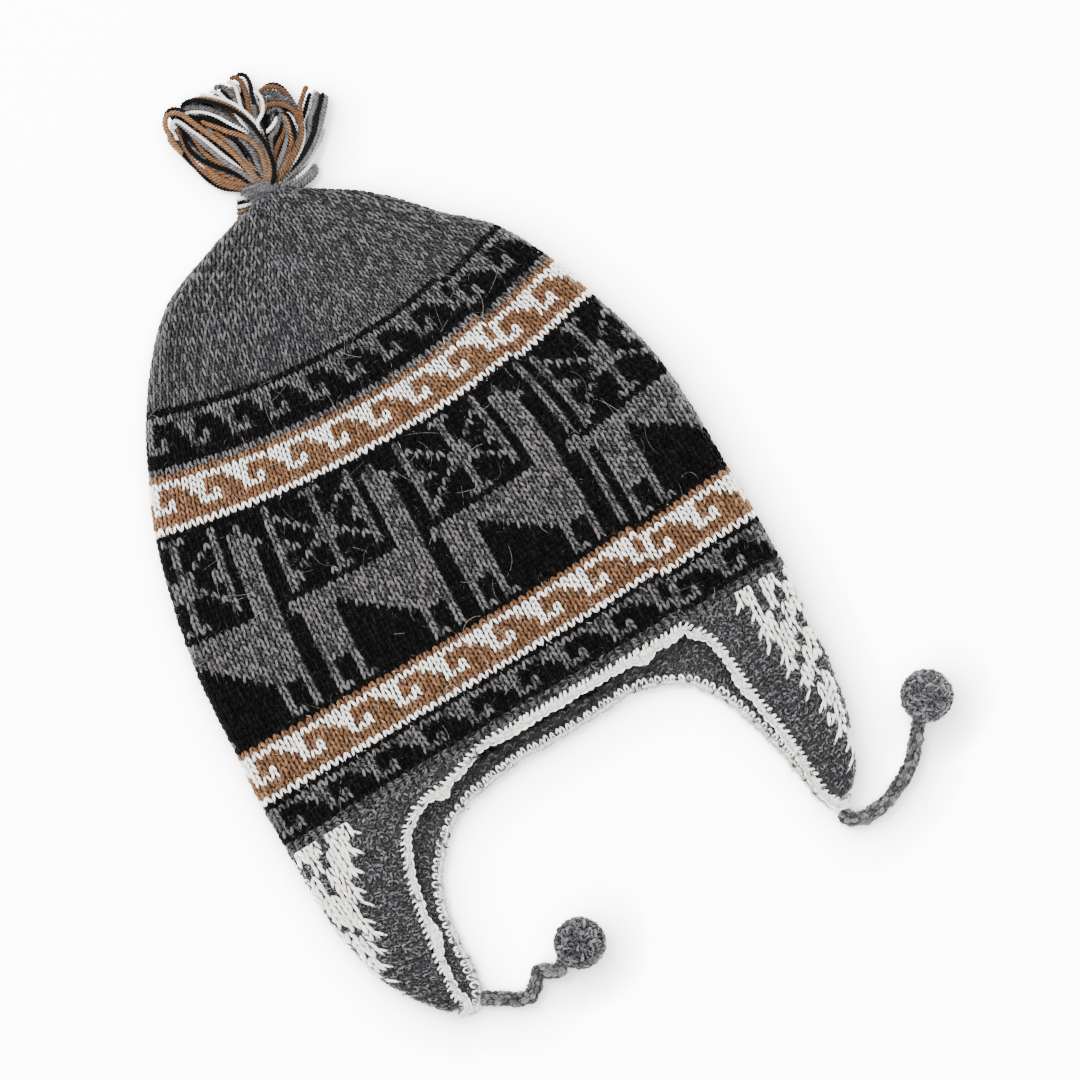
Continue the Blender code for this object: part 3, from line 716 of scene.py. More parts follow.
# Crown, the stitches
# Each stitch of the knitting is two legs of yarn that lean together towards the tip. The charts
# give the yarn of every stitch: plain grey above, then waves, the animals, waves and a purl rim.
SECTORS = (38, 70, 102, 134)    # the columns that the top's four wedges narrow towards
SEAM = 51                       # where the rounds start, and the pattern doesn't meet
WAVE = ("BBBBBB", "WWWWWW", "BWWWBB", "BBWWBB", "BBBWBW", "BBBWWW", "BBBBBB", "BBBBBB", "WWWWWW")
WAVE_START = 3
ANIMAL_START = 1
ANIMAL = (
    "KKKKKKKKKKKKKKKKKK",
    "KKGKKKKGGGKKKGKKKK",
    "KKGKKKKKGKKKKGKKGK",
    "KKGGKKKKGKKKGGKGGK",
    "KKGKGKKKGKKGKGKGGG",
    "GKGKKGKKGKGKKGKGGG",
    "KKGKKKGKGGKKKGKGGG",
    "KKGGKKKGGGKKGGKGGG",
    "KKGGGKKGGGKKGGKGGG",
    "KKGKKKGGGGGKKGKGGG",
    "KKGKKGKKGKKGKGKGGG",
    "KKGKGKKKGKKKGGKGGG",
    "KKGGKKKKGKKKKGKGGG",
    "KKGGKKKKGKKKKGKGGG",
    "KKGKKKKGGGKKKKKGGG",
    "KKKKKKKKKKKKKKKGGG",
    "KGGGGGGGGGGGGGGGGG",
    "KGGGGGGGGGGGGGGGGG",
    "KKGGGGGGGGGGGGGGGG",
    "KKGGGGKGGGGGGGGGGG",
    "KKGGGGKKGGGGGGGGGG",
    "KKGGGGKKKGGGGGGGGG",
    "KKGGGGKKKKGGGGGGGG",
    "KKGGGGKKKKKGGGGGGG",
    "KKGGGGKKKKKKGGGGGG",
    "KKGGGGKKKKKKKGGGGG",
    "KKGGGGKKKKKKKKGGGG",
    "KKGKKGKKKKKKKKGKKG",
    "KKGKKGKKKKKKKKGKKG",
    "KKGKKGKKKKKKKKGKKG",
    "KKGKKGKKKKKKKKGKKG",
    "KKGGKGGKKKKKKKGGKG",
    "KKKKKKKKKKKKKKKKKK",
)
DARK_WAVE = tuple(line.replace("B", "K").replace("W", "G") for line in WAVE)
CHARTS = ((28, DARK_WAVE, WAVE_START), (37, WAVE, WAVE_START), (46, ANIMAL, ANIMAL_START))
CHARTS += ((79, WAVE, WAVE_START), (88, DARK_WAVE[:7], WAVE_START))
PURL_ROW = 95


def crown_knit(seat, column, row, lift):
    """A place by stitches: seat is the column that a wedge centres on, column counts from it."""
    c = crown_row(np.clip(row, 0, RIM_ROW))
    share = seat / STITCHES + column * pitch_at(row) / c["girth"]
    number = (seat + column) % STITCHES
    past = number - SEAM
    kink = np.where(past >= 0, 0.55 * (1 - hump(past / 9)), -0.45 * (1 - hump(-past / 9)))
    down = row + kink * hump((row - 20) / 10)
    return crown_at(share, np.clip(down, 0, RIM_ROW + 0.8), lift)


seats, columns, rows, yarns = [], [], [], []
for r in range(RIM_ROW):
    if r < PLAIN_ROWS:
        girth = crown_row(np.array(float(r + 0.5)))["girth"]
        reach = girth / 8 / float(pitch_at(np.array(r + 0.5)))
        cells = np.arange(-16, 16) + 0.5
        cells = cells[np.abs(cells) < reach]
        for seat in SECTORS:
            seats.append(np.full(len(cells), seat))
            columns.append(cells)
            rows.append(np.full(len(cells), r + 0.5))
            yarns.append(np.full(len(cells), "P"))
        continue
    cells = np.arange(STITCHES)
    seats.append(np.zeros(STITCHES))
    columns.append(cells + 0.5)
    rows.append(np.full(STITCHES, r + 0.5))
    if r >= PURL_ROW:
        yarns.append(np.full(STITCHES, "R"))
        continue
    first, chart, start = [entry for entry in CHARTS if entry[0] <= r][-1]
    line = np.array(list(chart[r - first]))
    wrapped = (cells - SEAM + np.where(cells < SEAM, STITCHES, 0) + start) % len(line)
    yarns.append(line[wrapped])
seat, column, row, yarn = (np.concatenate(x) for x in (seats, columns, rows, yarns))
seat = seat.astype(float)
front = ((seat + column) % STITCHES) < STITCHES / 2 + 1.5
front |= ((seat + column) % STITCHES) > STITCHES - 1.5
width = pitch_at(row)
ROW_HEIGHT = 2.5
STRAYS = 150
flat = np.zeros(len(row))
ahead = crown_knit(seat, column + 0.3, row, flat) - crown_knit(seat, column - 0.3, row, flat)
above = crown_knit(seat, column, np.maximum(row - 0.5, 0), flat)
below = crown_knit(seat, column, row + 0.5, flat) - above
slant = 0.9 * np.sum(ahead * below, axis=1) / (np.linalg.norm(ahead, axis=1) + 0.01)
slant = np.clip(slant, -3.0, 3.0)

YARNS = {                       # name, dark and light fibres, share of light, odd patches
    "P": ("grey_top", (0.0092, 0.0088, 0.0099), (0.1122, 0.1088, 0.1136), 0.65, None),
    "K": ("black", (0.0006, 0.0005, 0.0007), (0.0044, 0.0041, 0.0051), 0.1, None),
    "G": (
        "grey_pattern", (0.0088, 0.0083, 0.0088), (0.1600, 0.1540, 0.1560), 0.74,
        (0.0578, 0.0462, 0.0374),
    ),
    "B": ("camel", (0.0816, 0.0374, 0.0177), (0.2176, 0.1156, 0.0598), 0.55, None),
    "W": ("white", (0.64, 0.62, 0.58), (0.90, 0.89, 0.855), 0.85, None),
    "R": (
        "grey_rim", (0.0092, 0.0088, 0.0095), (0.1258, 0.1210, 0.1244), 0.6, (0.0544, 0.0462, 0.0394),
    ),
}
# how strongly painted shade darkens each yarn's hidden sides and stroke ends
PAINTED_CREVICE_SHADE = {"P": 0.12, "K": 0.0, "G": 0.25, "B": 0.45, "W": 0.42, "R": 0.25}
FUZZ = {"P": 3.0, "K": 1.5, "G": 2.8, "B": 1.8, "W": 1.4, "R": 4.5}     # hairs on a stitch
RINGS_OF = {"K": (3, 3), "B": (4, 4), "W": (4, 4)}      # rings and sides of a leg, else 3 and 4


def crown_inside(seat, column, row, lift):
    """A place on the inner face by stitches, its lift turned inwards."""
    return crown_knit(seat, column, row, 0.3 - WALL - lift)


inner_column, inner_row = (x.reshape(-1) for x in np.meshgrid(
    np.arange(STITCHES / 2 - 1, STITCHES + 1) + 0.5, np.arange(88, RIM_ROW) + 0.5
))
inner_grey = (inner_row > PURL_ROW) | (rng.uniform(0, 1, len(inner_row)) < 0.12)
pieces = []
for key, (name, dark, light, paleness, warm) in YARNS.items():
    sheen = 0.0 if key == "K" else 0.02
    material = wool(f"wool_{name}", dark, light, paleness, warm, PAINTED_CREVICE_SHADE[key], sheen=sheen)
    front_rings, front_sides = RINGS_OF.get(key, (3, 4))
    faces = ("front", front, front_rings, front_sides), ("back", ~front, front_rings - 1, 3)
    for face, chosen, rings, sides in faces:
        pick = (yarn == key) & chosen
        if not pick.any():
            continue
        parts = []
        if key == "R":
            for bow, down in ((1, 0.0), (-1, 0.1), (1, 0.5), (-1, 0.6)):
                parts.append(stitch_tubes(
                    crown_knit, seat[pick], column[pick] + 0.5 * bow, row[pick] + down, width[pick],
                    ROW_HEIGHT, arc(bow, wide=0.165, tall=0.16), rings, sides, 1.8, 0.6,
                ))
        else:
            for way in (-1, 1):
                parts.append(stitch_tubes(
                    crown_knit, seat[pick], column[pick], row[pick], width[pick], ROW_HEIGHT,
                    leg(way), rings, sides, 1.15, 0.0, slant[pick],
                ))
        if face == "back" and key in "RK":
            pick_in = inner_grey == (key == "R")
            for bow in (1, -1):
                parts.append(stitch_tubes(
                    crown_inside, 0.0, inner_column[pick_in], inner_row[pick_in], 3.6, ROW_HEIGHT,
                    arc(bow, 0.25 * bow, wide=0.22, tall=0.2), 3, 3, 1.8, 0.5,
                ))
        share_of = FUZZ[key] * (1.0 if face == "front" else 0.15)
        which = np.flatnonzero(pick)
        which = rng.choice(which, int(len(which) * share_of))
        high = 0.9 if face == "front" else 0.1
        parts.append(tufts(crown_knit, seat, column, row, width, ROW_HEIGHT, which, 3.0, HAIR, high))
        pieces.append(add_yarn(f"stitches_{name}_{face}", parts, material))
stray = rng.choice(np.flatnonzero(front & (row > 24)), STRAYS)
strays = tufts(crown_knit, seat, column, row, width, ROW_HEIGHT, stray, 12.0, HAIR, 1.5, 1.1, 12)
stray_wool = wool("stray_fibres", (0.0476, 0.0449, 0.0408), (0.2720, 0.2584, 0.2312), 0.7, painted_crevice_shade=0.0)
pieces.append(add_yarn("stray_fibres", [strays], stray_wool))
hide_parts("crown")
for piece in [cloth, *pieces]:
    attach(piece, "root")

# Ear flaps, the cloth
# Two flaps knitted on below the rim in dark heather wool, each folded lengthways so that its
# front half lies over its back half. This is the ground behind their stitches.
FLAP_R = 4.2
FLAP = ("share", "fold_x", "fold_y", "upper_x", "upper_y", "lower_x", "lower_y")
FLAP_ROWS = {
    "left": (
        (0.0, -119.8, -104.3, -25.2, -98.9, -12.0, -109.2),
        (0.06, -119.7, -108.0, -45.0, -105.6, -32.5, -113.0),
        (0.13, -119.5, -112.0, -61.4, -108.8, -45.5, -116.6),
        (0.21, -119.3, -117.5, -72.6, -115.8, -57.0, -123.6),
        (0.32, -118.9, -127.6, -79.6, -128.3, -66.4, -134.0),
        (0.5, -117.0, -145.9, -84.2, -147.2, -74.4, -149.0),
        (0.68, -112.0, -165.6, -87.2, -166.9, -77.3, -167.8),
        (0.82, -104.4, -179.3, -88.4, -180.7, -77.7, -181.0),
        (0.93, -97.8, -188.2, -88.8, -189.4, -78.8, -189.8),
        (1.0, -92.6, -193.6, -87.8, -194.6, -81.1, -194.8),
    ),
    "right": (
        (0.0, 120.5, -95.9, 71.0, -96.8, 38.0, -108.2),
        (0.06, 120.4, -99.8, 77.2, -102.0, 50.0, -111.4),
        (0.13, 120.2, -104.4, 80.2, -106.4, 58.4, -114.6),
        (0.21, 119.8, -110.2, 82.2, -112.3, 65.1, -119.4),
        (0.32, 119.0, -122.8, 84.0, -127.0, 73.5, -131.0),
        (0.5, 117.8, -141.8, 86.4, -143.0, 80.0, -146.6),
        (0.68, 115.0, -160.7, 90.0, -161.9, 84.8, -162.6),
        (0.82, 110.5, -174.5, 91.1, -176.2, 87.8, -176.6),
        (0.93, 106.6, -184.6, 92.0, -186.7, 89.6, -187.0),
        (1.0, 101.4, -191.4, 95.4, -193.2, 93.4, -193.2),
    ),
}
GAP = -0.4                      # the grounds lap over each other a little
rim = {name: float(value) for name, value in crown_row(np.array(float(RIM_ROW))).items()}


def rim_y(x, middle):
    """How far up the crown's rim lies at x, on the front (front_y) or the back (back_y)."""
    s = (x - rim["left_x"]) / (rim["right_x"] - rim["left_x"]) * 2 - 1
    chord = (rim["left_y"] * (1 - s) + rim["right_y"] * (1 + s)) / 2
    return chord + (rim[middle] - (rim["left_y"] + rim["right_y"]) / 2) * (1 - s * s)


def flap_row(side, share):
    """A flap's values at shares of the way from the rim to its tip, by name."""
    table = np.array(FLAP_ROWS[side])
    values = cubic(table[:, 0], table[:, 1:], share)
    c = {name: values[..., i] for i, name in enumerate(FLAP[1:])}
    c["r"] = EDGE_R + (FLAP_R - EDGE_R) * share
    c["length_u"] = np.hypot(c["upper_x"] - c["fold_x"], c["upper_y"] - c["fold_y"])
    c["length_l"] = np.hypot(c["lower_x"] - c["fold_x"], c["lower_y"] - c["fold_y"])
    return c


def flap_at(side, share, run, lift):
    """A place on a flap: share of the way to its tip, and run along the cloth from its fold.

    A positive run goes over the upper half, a negative one under the lower half. The fold is a
    half circle, the lower half flat, and the upper one rises towards the hat's middle.
    """
    share = np.clip(share, 0, 1)
    c = flap_row(side, share)
    start = {name: float(value) for name, value in flap_row(side, np.array(0.0)).items()}
    r = c["r"]
    away = np.abs(run)
    turn = np.minimum(away / r, math.pi / 2)
    rolled = away < r * math.pi / 2
    a = np.where(rolled, r - (r + lift) * np.cos(turn), r + away - r * math.pi / 2)
    upper = run > 0
    face = (1 + np.where(upper, 1, -1) * np.sin(turn)) / 2
    gain = (rim["height"] - 2 * EDGE_R) * (1 - hump(share * 1.25))
    top = 2 * r + gain * hump((a - r) / (rim["half"] - r)) + lift
    bent = r + (r + lift) * np.sin(turn) * np.where(upper, 1, -1)
    z = np.where(rolled, bent, np.where(upper, top, -lift))
    part_u, part_l = a / c["length_u"], a / c["length_l"]
    x = c["fold_x"] + face * part_u * (c["upper_x"] - c["fold_x"])
    x = x + (1 - face) * part_l * (c["lower_x"] - c["fold_x"])
    y = c["fold_y"] + face * part_u * (c["upper_y"] - c["fold_y"])
    y = y + (1 - face) * part_l * (c["lower_y"] - c["fold_y"])
    for middle, edge, weight, part in (
        ("front_y", "upper", face, part_u), ("back_y", "lower", 1 - face, part_l),
    ):
        rim_x = start["fold_x"] + part * (start[edge + "_x"] - start["fold_x"])
        straight = start["fold_y"] + part * (start[edge + "_y"] - start["fold_y"])
        y = y + weight * (1 - share) ** 6 * (rim_y(rim_x, middle) - GAP - straight)
    return np.stack([x, y, z], axis=-1)


def flap_ends(side, share):
    """How far the cloth reaches from the fold, over the upper half and under the lower one."""
    c = flap_row(side, share)
    extra = c["r"] * (math.pi / 2 - 1)
    return c["length_u"] + extra, c["length_l"] + extra


flap_ground = Finish("flap_ground_wool")
shade_of = flap_ground.mix(specks(flap_ground) * 0.8, (0.006, 0.006, 0.0065), (0.050, 0.048, 0.052))
flap_ground.feed(flap_ground.shader, "Base Color", shade_of)
flap_ground.feed(flap_ground.shader, "Roughness", 0.95)
flaps = {}
for side in FLAP_ROWS:
    share, part = np.meshgrid(np.linspace(0.0, 0.996, 48), np.linspace(1, -1, 61), indexing="ij")
    long_u, long_l = flap_ends(side, share)
    run = np.where(part > 0, part * long_u, part * long_l)
    outer = flap_at(side, share, run, np.full_like(run, -GROUND))
    inner = flap_at(side, share, run, np.full_like(run, -WALL + 0.6))
    rings = np.concatenate([outer, inner[:, ::-1]], axis=1)
    m = rings.shape[1]
    quads = ring_quads(len(rings), m)
    j = np.arange(m // 2 - 1)
    cap = np.stack([j, m - 1 - j, m - 2 - j, j + 1], axis=-1)
    quads = np.concatenate([quads, cap, cap[:, ::-1] + (len(rings) - 1) * m])
    if side == "left":
        quads = quads[:, ::-1]
    flaps[side] = add_mesh(
        f"flap_{side}_ground", rings.reshape(-1, 3), quads, NO_TRIANGLES, flap_ground.material
    )

# Ear flaps, the stitches
# Purl bumps of dark heather wool cover the flaps on both faces. White stitches on their outer
# face make the feathered wedge that runs down beside the fold.
FLAP_PITCH = 3.8
FLAP_ROW = 3.36
FLAP_HAIR = 0.08
FLAP_CHARTS = {
    "left": (
        ".WWW.WWW", ".WWW.WWW", "..W.WWW.", "..W.WWW.", ".W.WWW..", "WW.WWW..", "WW.WW...",
        "WWWWW...", ".WWWW...", ".WWW....", ".WWW....", "W.WW....", "WW.W....", ".WWW....",
        ".WW.....", "WWW.....", "WW......", "WW......", "W.......",
    ),
    "right": (
        "W.WW.WW", "W.WW.WW", "WW.W.W.", "WW.W.W.", "WWW.WW.", ".WW.WW.", "W.WWWW.", "W.WWW..",
        "WW.WW..", "WW.WW..", ".WW.W..", ".WW.W..", "..WW...", "..WW...", ".W.W...", ".WW....",
        ".WW....", ".WW....", ".W.....", ".WW....", ".W.....", ".W.....", "W......", "W......",
        "W......",
    ),
}


def flap_knit(side, way, inside):
    """A surface for stitches: columns from the fold over one half, rows from the rim down.

    way is 1 for the upper half and -1 for the lower one; inside turns the stitches' lift inwards.
    """
    shares = np.linspace(0, 1, 101)
    c = flap_row(side, shares)

    def surface(seat, column, row, lift):
        share = np.interp(row * FLAP_ROW, c["fold_y"][0] - c["fold_y"], shares)
        depth = -WALL + 0.25 - lift if inside else lift
        if way < 0 and not inside:
            depth = np.minimum(depth - 0.35, 0)
        return flap_at(side, share, way * np.abs(column) * FLAP_PITCH, depth)
    return surface


def long_leg(t):
    """The long white strokes along the wedge's inner edge: straight, down and away from the fold."""
    lift = -0.3 + np.sin(math.pi * t) ** 0.8
    return -0.4 + 1.3 * t, -0.5 + 1.6 * t, lift, 0.21 * swell(t, 0.55), 0.18 * swell(t, 0.55)


FLAP_FLATS = {"left": (0.208, 0.089, 0.0074), "right": (0.139, 0.096, 0.0067)}   # metres, unfolded
MOSS = (                        # how each purl's strokes bow, and where they lie in its cell
    (1, 0.0, 0.0), (-1, 0.5, 0.5), (0.6, -0.3, 0.4), (-0.6, 0.3, -0.2), (0.5, 0.1, -0.45),
)
flap_dark = wool("flap_dark_wool", FLAP_DARK, FLAP_LIGHT, 0.55)
flap_white = wool("flap_white_wool", YARNS["W"][1], YARNS["W"][2], 0.7, painted_crevice_shade=0.5)
for side, chart in FLAP_CHARTS.items():
    dark_parts, white_parts = [], []
    shares = np.linspace(0, 1, 101)
    table = flap_row(side, shares)
    deep = table["fold_y"][0] - table["fold_y"][-1]
    for way in (1, -1):
        for inside in (False, True):
            surface = flap_knit(side, way, inside)
            seen = (way > 0) != inside
            cells, lines = (x.reshape(-1) for x in np.meshgrid(
                np.arange(0, 30) + 0.5, np.arange(0, int(deep / FLAP_ROW) + 1) + 0.3
            ))
            share = np.interp(lines * FLAP_ROW, table["fold_y"][0] - table["fold_y"], shares)
            reach = flap_ends(side, share)[0 if way > 0 else 1]
            keep = (cells * FLAP_PITCH < reach - 0.6) & (lines * FLAP_ROW < deep)
            if inside:
                keep &= cells > 1.0
            cells, lines = cells[keep], lines[keep]
            white = np.zeros(len(cells), bool)
            if not inside:
                letters = np.array([list(text.ljust(30, ".")) for text in chart])
                deep_row = np.clip(lines.astype(int), 0, len(letters) - 1)
                white = letters[deep_row, cells.astype(int)] == "W"
                white &= lines < len(letters)
            dark = ~white
            for bow, aside, lower in MOSS[:5 if seen else 2]:
                dark_parts.append(stitch_tubes(
                    surface, 0.0, cells[dark] + aside, lines[dark] + lower, FLAP_PITCH, FLAP_ROW,
                    arc(bow, wide=0.155, tall=0.15, rise=0.85, span=0.86 if seen else 1.0), 2, 3,
                    2.4, 0.85,
                ))
            hair = (2.6, FLAP_HAIR, 0.9 if seen else 0.1)
            which = rng.choice(np.flatnonzero(dark), int(dark.sum() * (8.0 if seen else 0.4)))
            dark_parts.append(tufts(surface, 0.0, cells, lines, FLAP_PITCH, FLAP_ROW, which, *hair))
            if white.any():
                for way_out in (1, -1):
                    white_parts.append(stitch_tubes(
                        surface, 0.0, cells[white], lines[white], FLAP_PITCH, FLAP_ROW,
                        leg(way_out, 0.46, -0.9, 0.9, 0.225, 0.19, -0.35, 0.95), 4, 5, 1.8,
                    ))
                which = rng.choice(np.flatnonzero(white), int(white.sum() * 4))
                white_parts.append(tufts(surface, 0.0, cells, lines, FLAP_PITCH, FLAP_ROW, which, *hair))
    surface = flap_knit(side, 1, False)
    fringe = np.array([(chart[r].rfind("W") + 1.0, r + 1.2) for r in range(0, len(chart), 2)])
    white_parts.append(stitch_tubes(
        surface, 0.0, fringe[:, 0], fringe[:, 1], FLAP_PITCH, FLAP_ROW, long_leg, 6, 5, 0.8,
    ))
    knits = []
    for tone, parts, material in (("dark", dark_parts, flap_dark), ("white", white_parts, flap_white)):
        knits.append(add_yarn(f"flap_{side}_{tone}", parts, material))
    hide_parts(f"flap_{side}")
    for piece in [flaps[side], *knits]:
        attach(piece, "root")
    width, length, area = FLAP_FLATS[side]

# Edging
# A narrow band crocheted in off-white wool right round the free edge of the cloth: along the
# front rim, down one flap and up its back half, along the back rim and round the other flap.
EDGING_T = 2.8
EDGING_W, RIM_EDGING_W, TIP_EDGING_W = 4.2, 6.0, 3.6
EDGING_GAP = 0.45
TIP_SLACK = 0.6
FRONT_RIM = (-16.0, 66.0, 9)
BACK_RIM = (32.0, -6.0, 5)
EDGE_SHARES = np.array((0, 0.06, 0.13, 0.21, 0.32, 0.41, 0.5, 0.6, 0.68, 0.76, 0.82, 0.93, 1.0))
EDGE_STITCH = 3.65
EDGE_BULGES = (                 # where the front's edging is puckered: x, y, width added, spread
    (-51.2, -110.0, 4.4, 4.4), (50.4, -100.0, 4.2, 4.4), (76.0, -101.0, 1.5, 4.0),
    (-84.0, -163.0, 2.4, 7.0), (84.6, -131.0, 1.2, 6.0),
)
BACK_SLIMMER = 1.0              # how much narrower the band has curled on the back half
RIM_SLIMMER = 1.0               # and on the front rim
FRONT_SLIMMER = 0.5             # and all along the front


def rim_edge(x0, x1, count, middle):
    """Points along the middle of the cloth's thickness on the crown's rim."""
    half = (rim["right_x"] - rim["left_x"]) / 2
    x = np.linspace(x0, x1, count)
    inward = np.minimum(x - rim["left_x"], rim["right_x"] - x)
    rise = hump((inward - EDGE_R) / (half - EDGE_R)) * (rim["height"] - 2 * EDGE_R)
    z = 2 * EDGE_R + rise if middle == "front_y" else np.full(count, WALL)
    return np.column_stack([x, rim_y(x, middle), z - WALL / 2])


def plan_normals(points, way):
    """Unit vectors in plan across an open line of points, on its right (1) or left (-1)."""
    run = np.gradient(points[:, :2], axis=0)
    out = way * np.column_stack([run[:, 1], -run[:, 0], np.zeros(len(run))])
    return out / np.linalg.norm(out, axis=1)[:, None]


def flap_edge(side, way):
    """The free edge of a flap's upper (1) or lower (-1) half, from the rim to its tip."""
    ends = flap_ends(side, EDGE_SHARES)[0 if way > 0 else 1]
    return flap_at(side, EDGE_SHARES, way * ends, np.full(len(ends), -WALL / 2))


def flap_tip(side):
    """Three points round the fold at a flap's tip, and the way down out of it."""
    run = np.array((math.pi / 2, 0.001, -math.pi / 2)) * FLAP_R
    tip, above = (flap_at(side, np.full(3, share), run, np.full(3, -WALL / 2)) for share in (1.0, 0.93))
    down = tip[1] - above[1]
    down = np.array([down[0], down[1], 0.0]) / math.hypot(down[0], down[1])
    return tip + down * TIP_SLACK, np.tile(down, (3, 1))


front = np.vstack([flap_edge("left", 1)[::-1], rim_edge(*FRONT_RIM, "front_y"), flap_edge("right", 1)])
back = np.vstack([flap_edge("right", -1)[::-1], rim_edge(*BACK_RIM, "back_y"), flap_edge("left", -1)])
tip_right, way_right = flap_tip("right")
tip_left, way_left = flap_tip("left")
path = [front, tip_right, back, tip_left[::-1]]
ways = [plan_normals(front, 1), way_right, plan_normals(back, -1), way_left]
plain = [EDGING_W] * len(EDGE_SHARES)
widths = [
    plain + [RIM_EDGING_W] * FRONT_RIM[2] + plain, [TIP_EDGING_W] * 3,
    plain + [EDGING_W] * BACK_RIM[2] + plain, [TIP_EDGING_W] * 3,
]
for flank, tip, end, start in ((0, 1, -1, 0), (2, 1, 0, -1), (2, 3, -1, 0), (0, 3, 0, -1)):
    ways[flank][end] += ways[tip][start]
path, ways, widths = np.vstack(path), np.vstack(ways), np.concatenate(widths)
knots = lengths(path[[*range(len(path)), 0]])
wrapped = np.arange(-3, len(path) + 4) % len(path)
turns = np.floor(np.arange(-3, len(path) + 4) / len(path))
knots_round = knots[:-1][wrapped] + turns * knots[-1]
EDGE_LONG = knots[-1]
edge_count = int(EDGE_LONG / 0.9)
edge_s = np.linspace(0, knots[-1], edge_count + 1)[:-1]
edge_path = cubic(knots_round, path[wrapped], edge_s)
edge_out = cubic(knots_round, ways[wrapped], edge_s)
edge_wide = cubic(knots_round, widths[wrapped, None], edge_s)[:, 0]
for x, y, more, spread in EDGE_BULGES:
    away = np.hypot(edge_path[:, 0] - x, edge_path[:, 1] - y)
    edge_wide += more * np.exp(-((away / spread) ** 4)) * (edge_path[:, 2] > 6.5)
edge_wide += 0.35 * np.sin(edge_s * 0.61) * np.sin(edge_s * 0.23 + 1.0)
tip_s = knots[2 * len(EDGE_SHARES) + FRONT_RIM[2] + 1]
rim_from, rim_to = knots[len(EDGE_SHARES)], knots[len(EDGE_SHARES) + FRONT_RIM[2] - 1]
edge_wide -= FRONT_SLIMMER * hump((edge_s - 4) / 12) * hump((tip_s - 8 - edge_s) / 12)
edge_wide -= RIM_SLIMMER * hump((edge_s - rim_from + 8) / 16) * hump((rim_to + 8 - edge_s) / 16)
edge_wide -= BACK_SLIMMER * hump((edge_s - tip_s) / 12) * hump((EDGE_LONG - 9 - edge_s) / 14)
edge_along = np.roll(edge_path, -1, axis=0) - np.roll(edge_path, 1, axis=0)
edge_along /= np.linalg.norm(edge_along, axis=1)[:, None]
edge_out -= edge_along * np.sum(edge_out * edge_along, axis=1)[:, None]
edge_out /= np.linalg.norm(edge_out, axis=1)[:, None]
edge_up = np.cross(edge_out, edge_along)
EDGE_STITCHES = int(round(EDGE_LONG / EDGE_STITCH))


def edge_frame(s):
    """Path, way out, way up and width at distances along the edge."""
    at = (s % EDGE_LONG) / EDGE_LONG * edge_count
    low = np.floor(at).astype(int) % edge_count
    high = (low + 1) % edge_count
    part = (at - np.floor(at))[..., None]
    values = [v[low] * (1 - part) + v[high] * part for v in (edge_path, edge_out, edge_up)]
    return *values, edge_wide[low] * (1 - part[..., 0]) + edge_wide[high] * part[..., 0]


def band_at(seat, column, row, lift):
    """Places on the band: column is sixths of a turn round it, row is stitches along it.

    Column 0 is its free side, 1.5 the cloth's outer face and 3 the side that meets the cloth.
    seat is 1 there and -1 for the cloth's inner face, which is the one in view on the back half.
    """
    base, out, up, width = edge_frame(row * EDGE_LONG / EDGE_STITCHES)
    turn = seat * column * math.pi / 3
    half_w, half_t = width / 2 - 0.85, EDGING_T / 2 - 0.75
    away = EDGING_GAP + width / 2 + (half_w + lift) * np.cos(turn)
    return base + out * away[..., None] + up * ((half_t + lift) * np.sin(turn))[..., None]


def over_at(seat, column, row, lift):
    """Places over the cloth beside the band: column is millimetres outwards from its edge.

    The lift is off the cloth's outer face for a seat of 1 and off its inner face for -1.
    """
    base, out, up, _ = edge_frame(row * EDGE_LONG / EDGE_STITCHES)
    return base + out * column[..., None] + up * (seat * lift)[..., None]


def stroke(points, wide, tall, power=0.5, taper=0.0):
    """A crochet stroke as a shape for stitch_tubes: (across, along, lift) at even steps.

    wide and tall are half its width and thickness, and taper thins its far end.
    """
    table = np.array(points, float)
    knots = np.linspace(0, 1, len(table))

    def shape(t):
        across, down, lift = cubic(knots, table, t).T
        thick = swell(t, power) * (1 - taper * t)
        return across, down, lift, wide * thick, tall * thick
    return shape


def scatter(first, last, step):
    """Places along the edge, in stitches, from one distance to another about step apart."""
    count = int((last - first) / step)
    places = first + (np.arange(count) + 0.5) * (last - first) / count
    return (places + rng.normal(0, 0.25, count)) * EDGE_STITCHES / EDGE_LONG


column, row = np.meshgrid(np.arange(10) * 0.6, np.linspace(0, EDGE_STITCHES, edge_count + 1)[:-1])
core = band_at(1, column, row, np.zeros_like(column))
edging_wool = wool("edging_wool", YARNS["W"][1], YARNS["W"][2], 0.8, painted_crevice_shade=0.6)
core_uv = np.column_stack([row.reshape(-1) * EDGE_STITCH, column.reshape(-1) * 1.4])
band = add_mesh(
    "edging_core", core.reshape(-1, 3), ring_quads(edge_count, 10, True, True), NO_TRIANGLES,
    edging_wool, core_uv, np.full(len(core_uv), 0.4),
)
BAND_PITCH = 1.6
EDGING_HAIRS = 900
mm_row = EDGE_LONG / EDGE_STITCHES
back_from = tip_s + knots[len(EDGE_SHARES) - 1] - 28
back_to = EDGE_LONG + 22 - knots[len(EDGE_SHARES) - 1]
stitch = np.arange(EDGE_STITCHES).astype(float)
parts = []
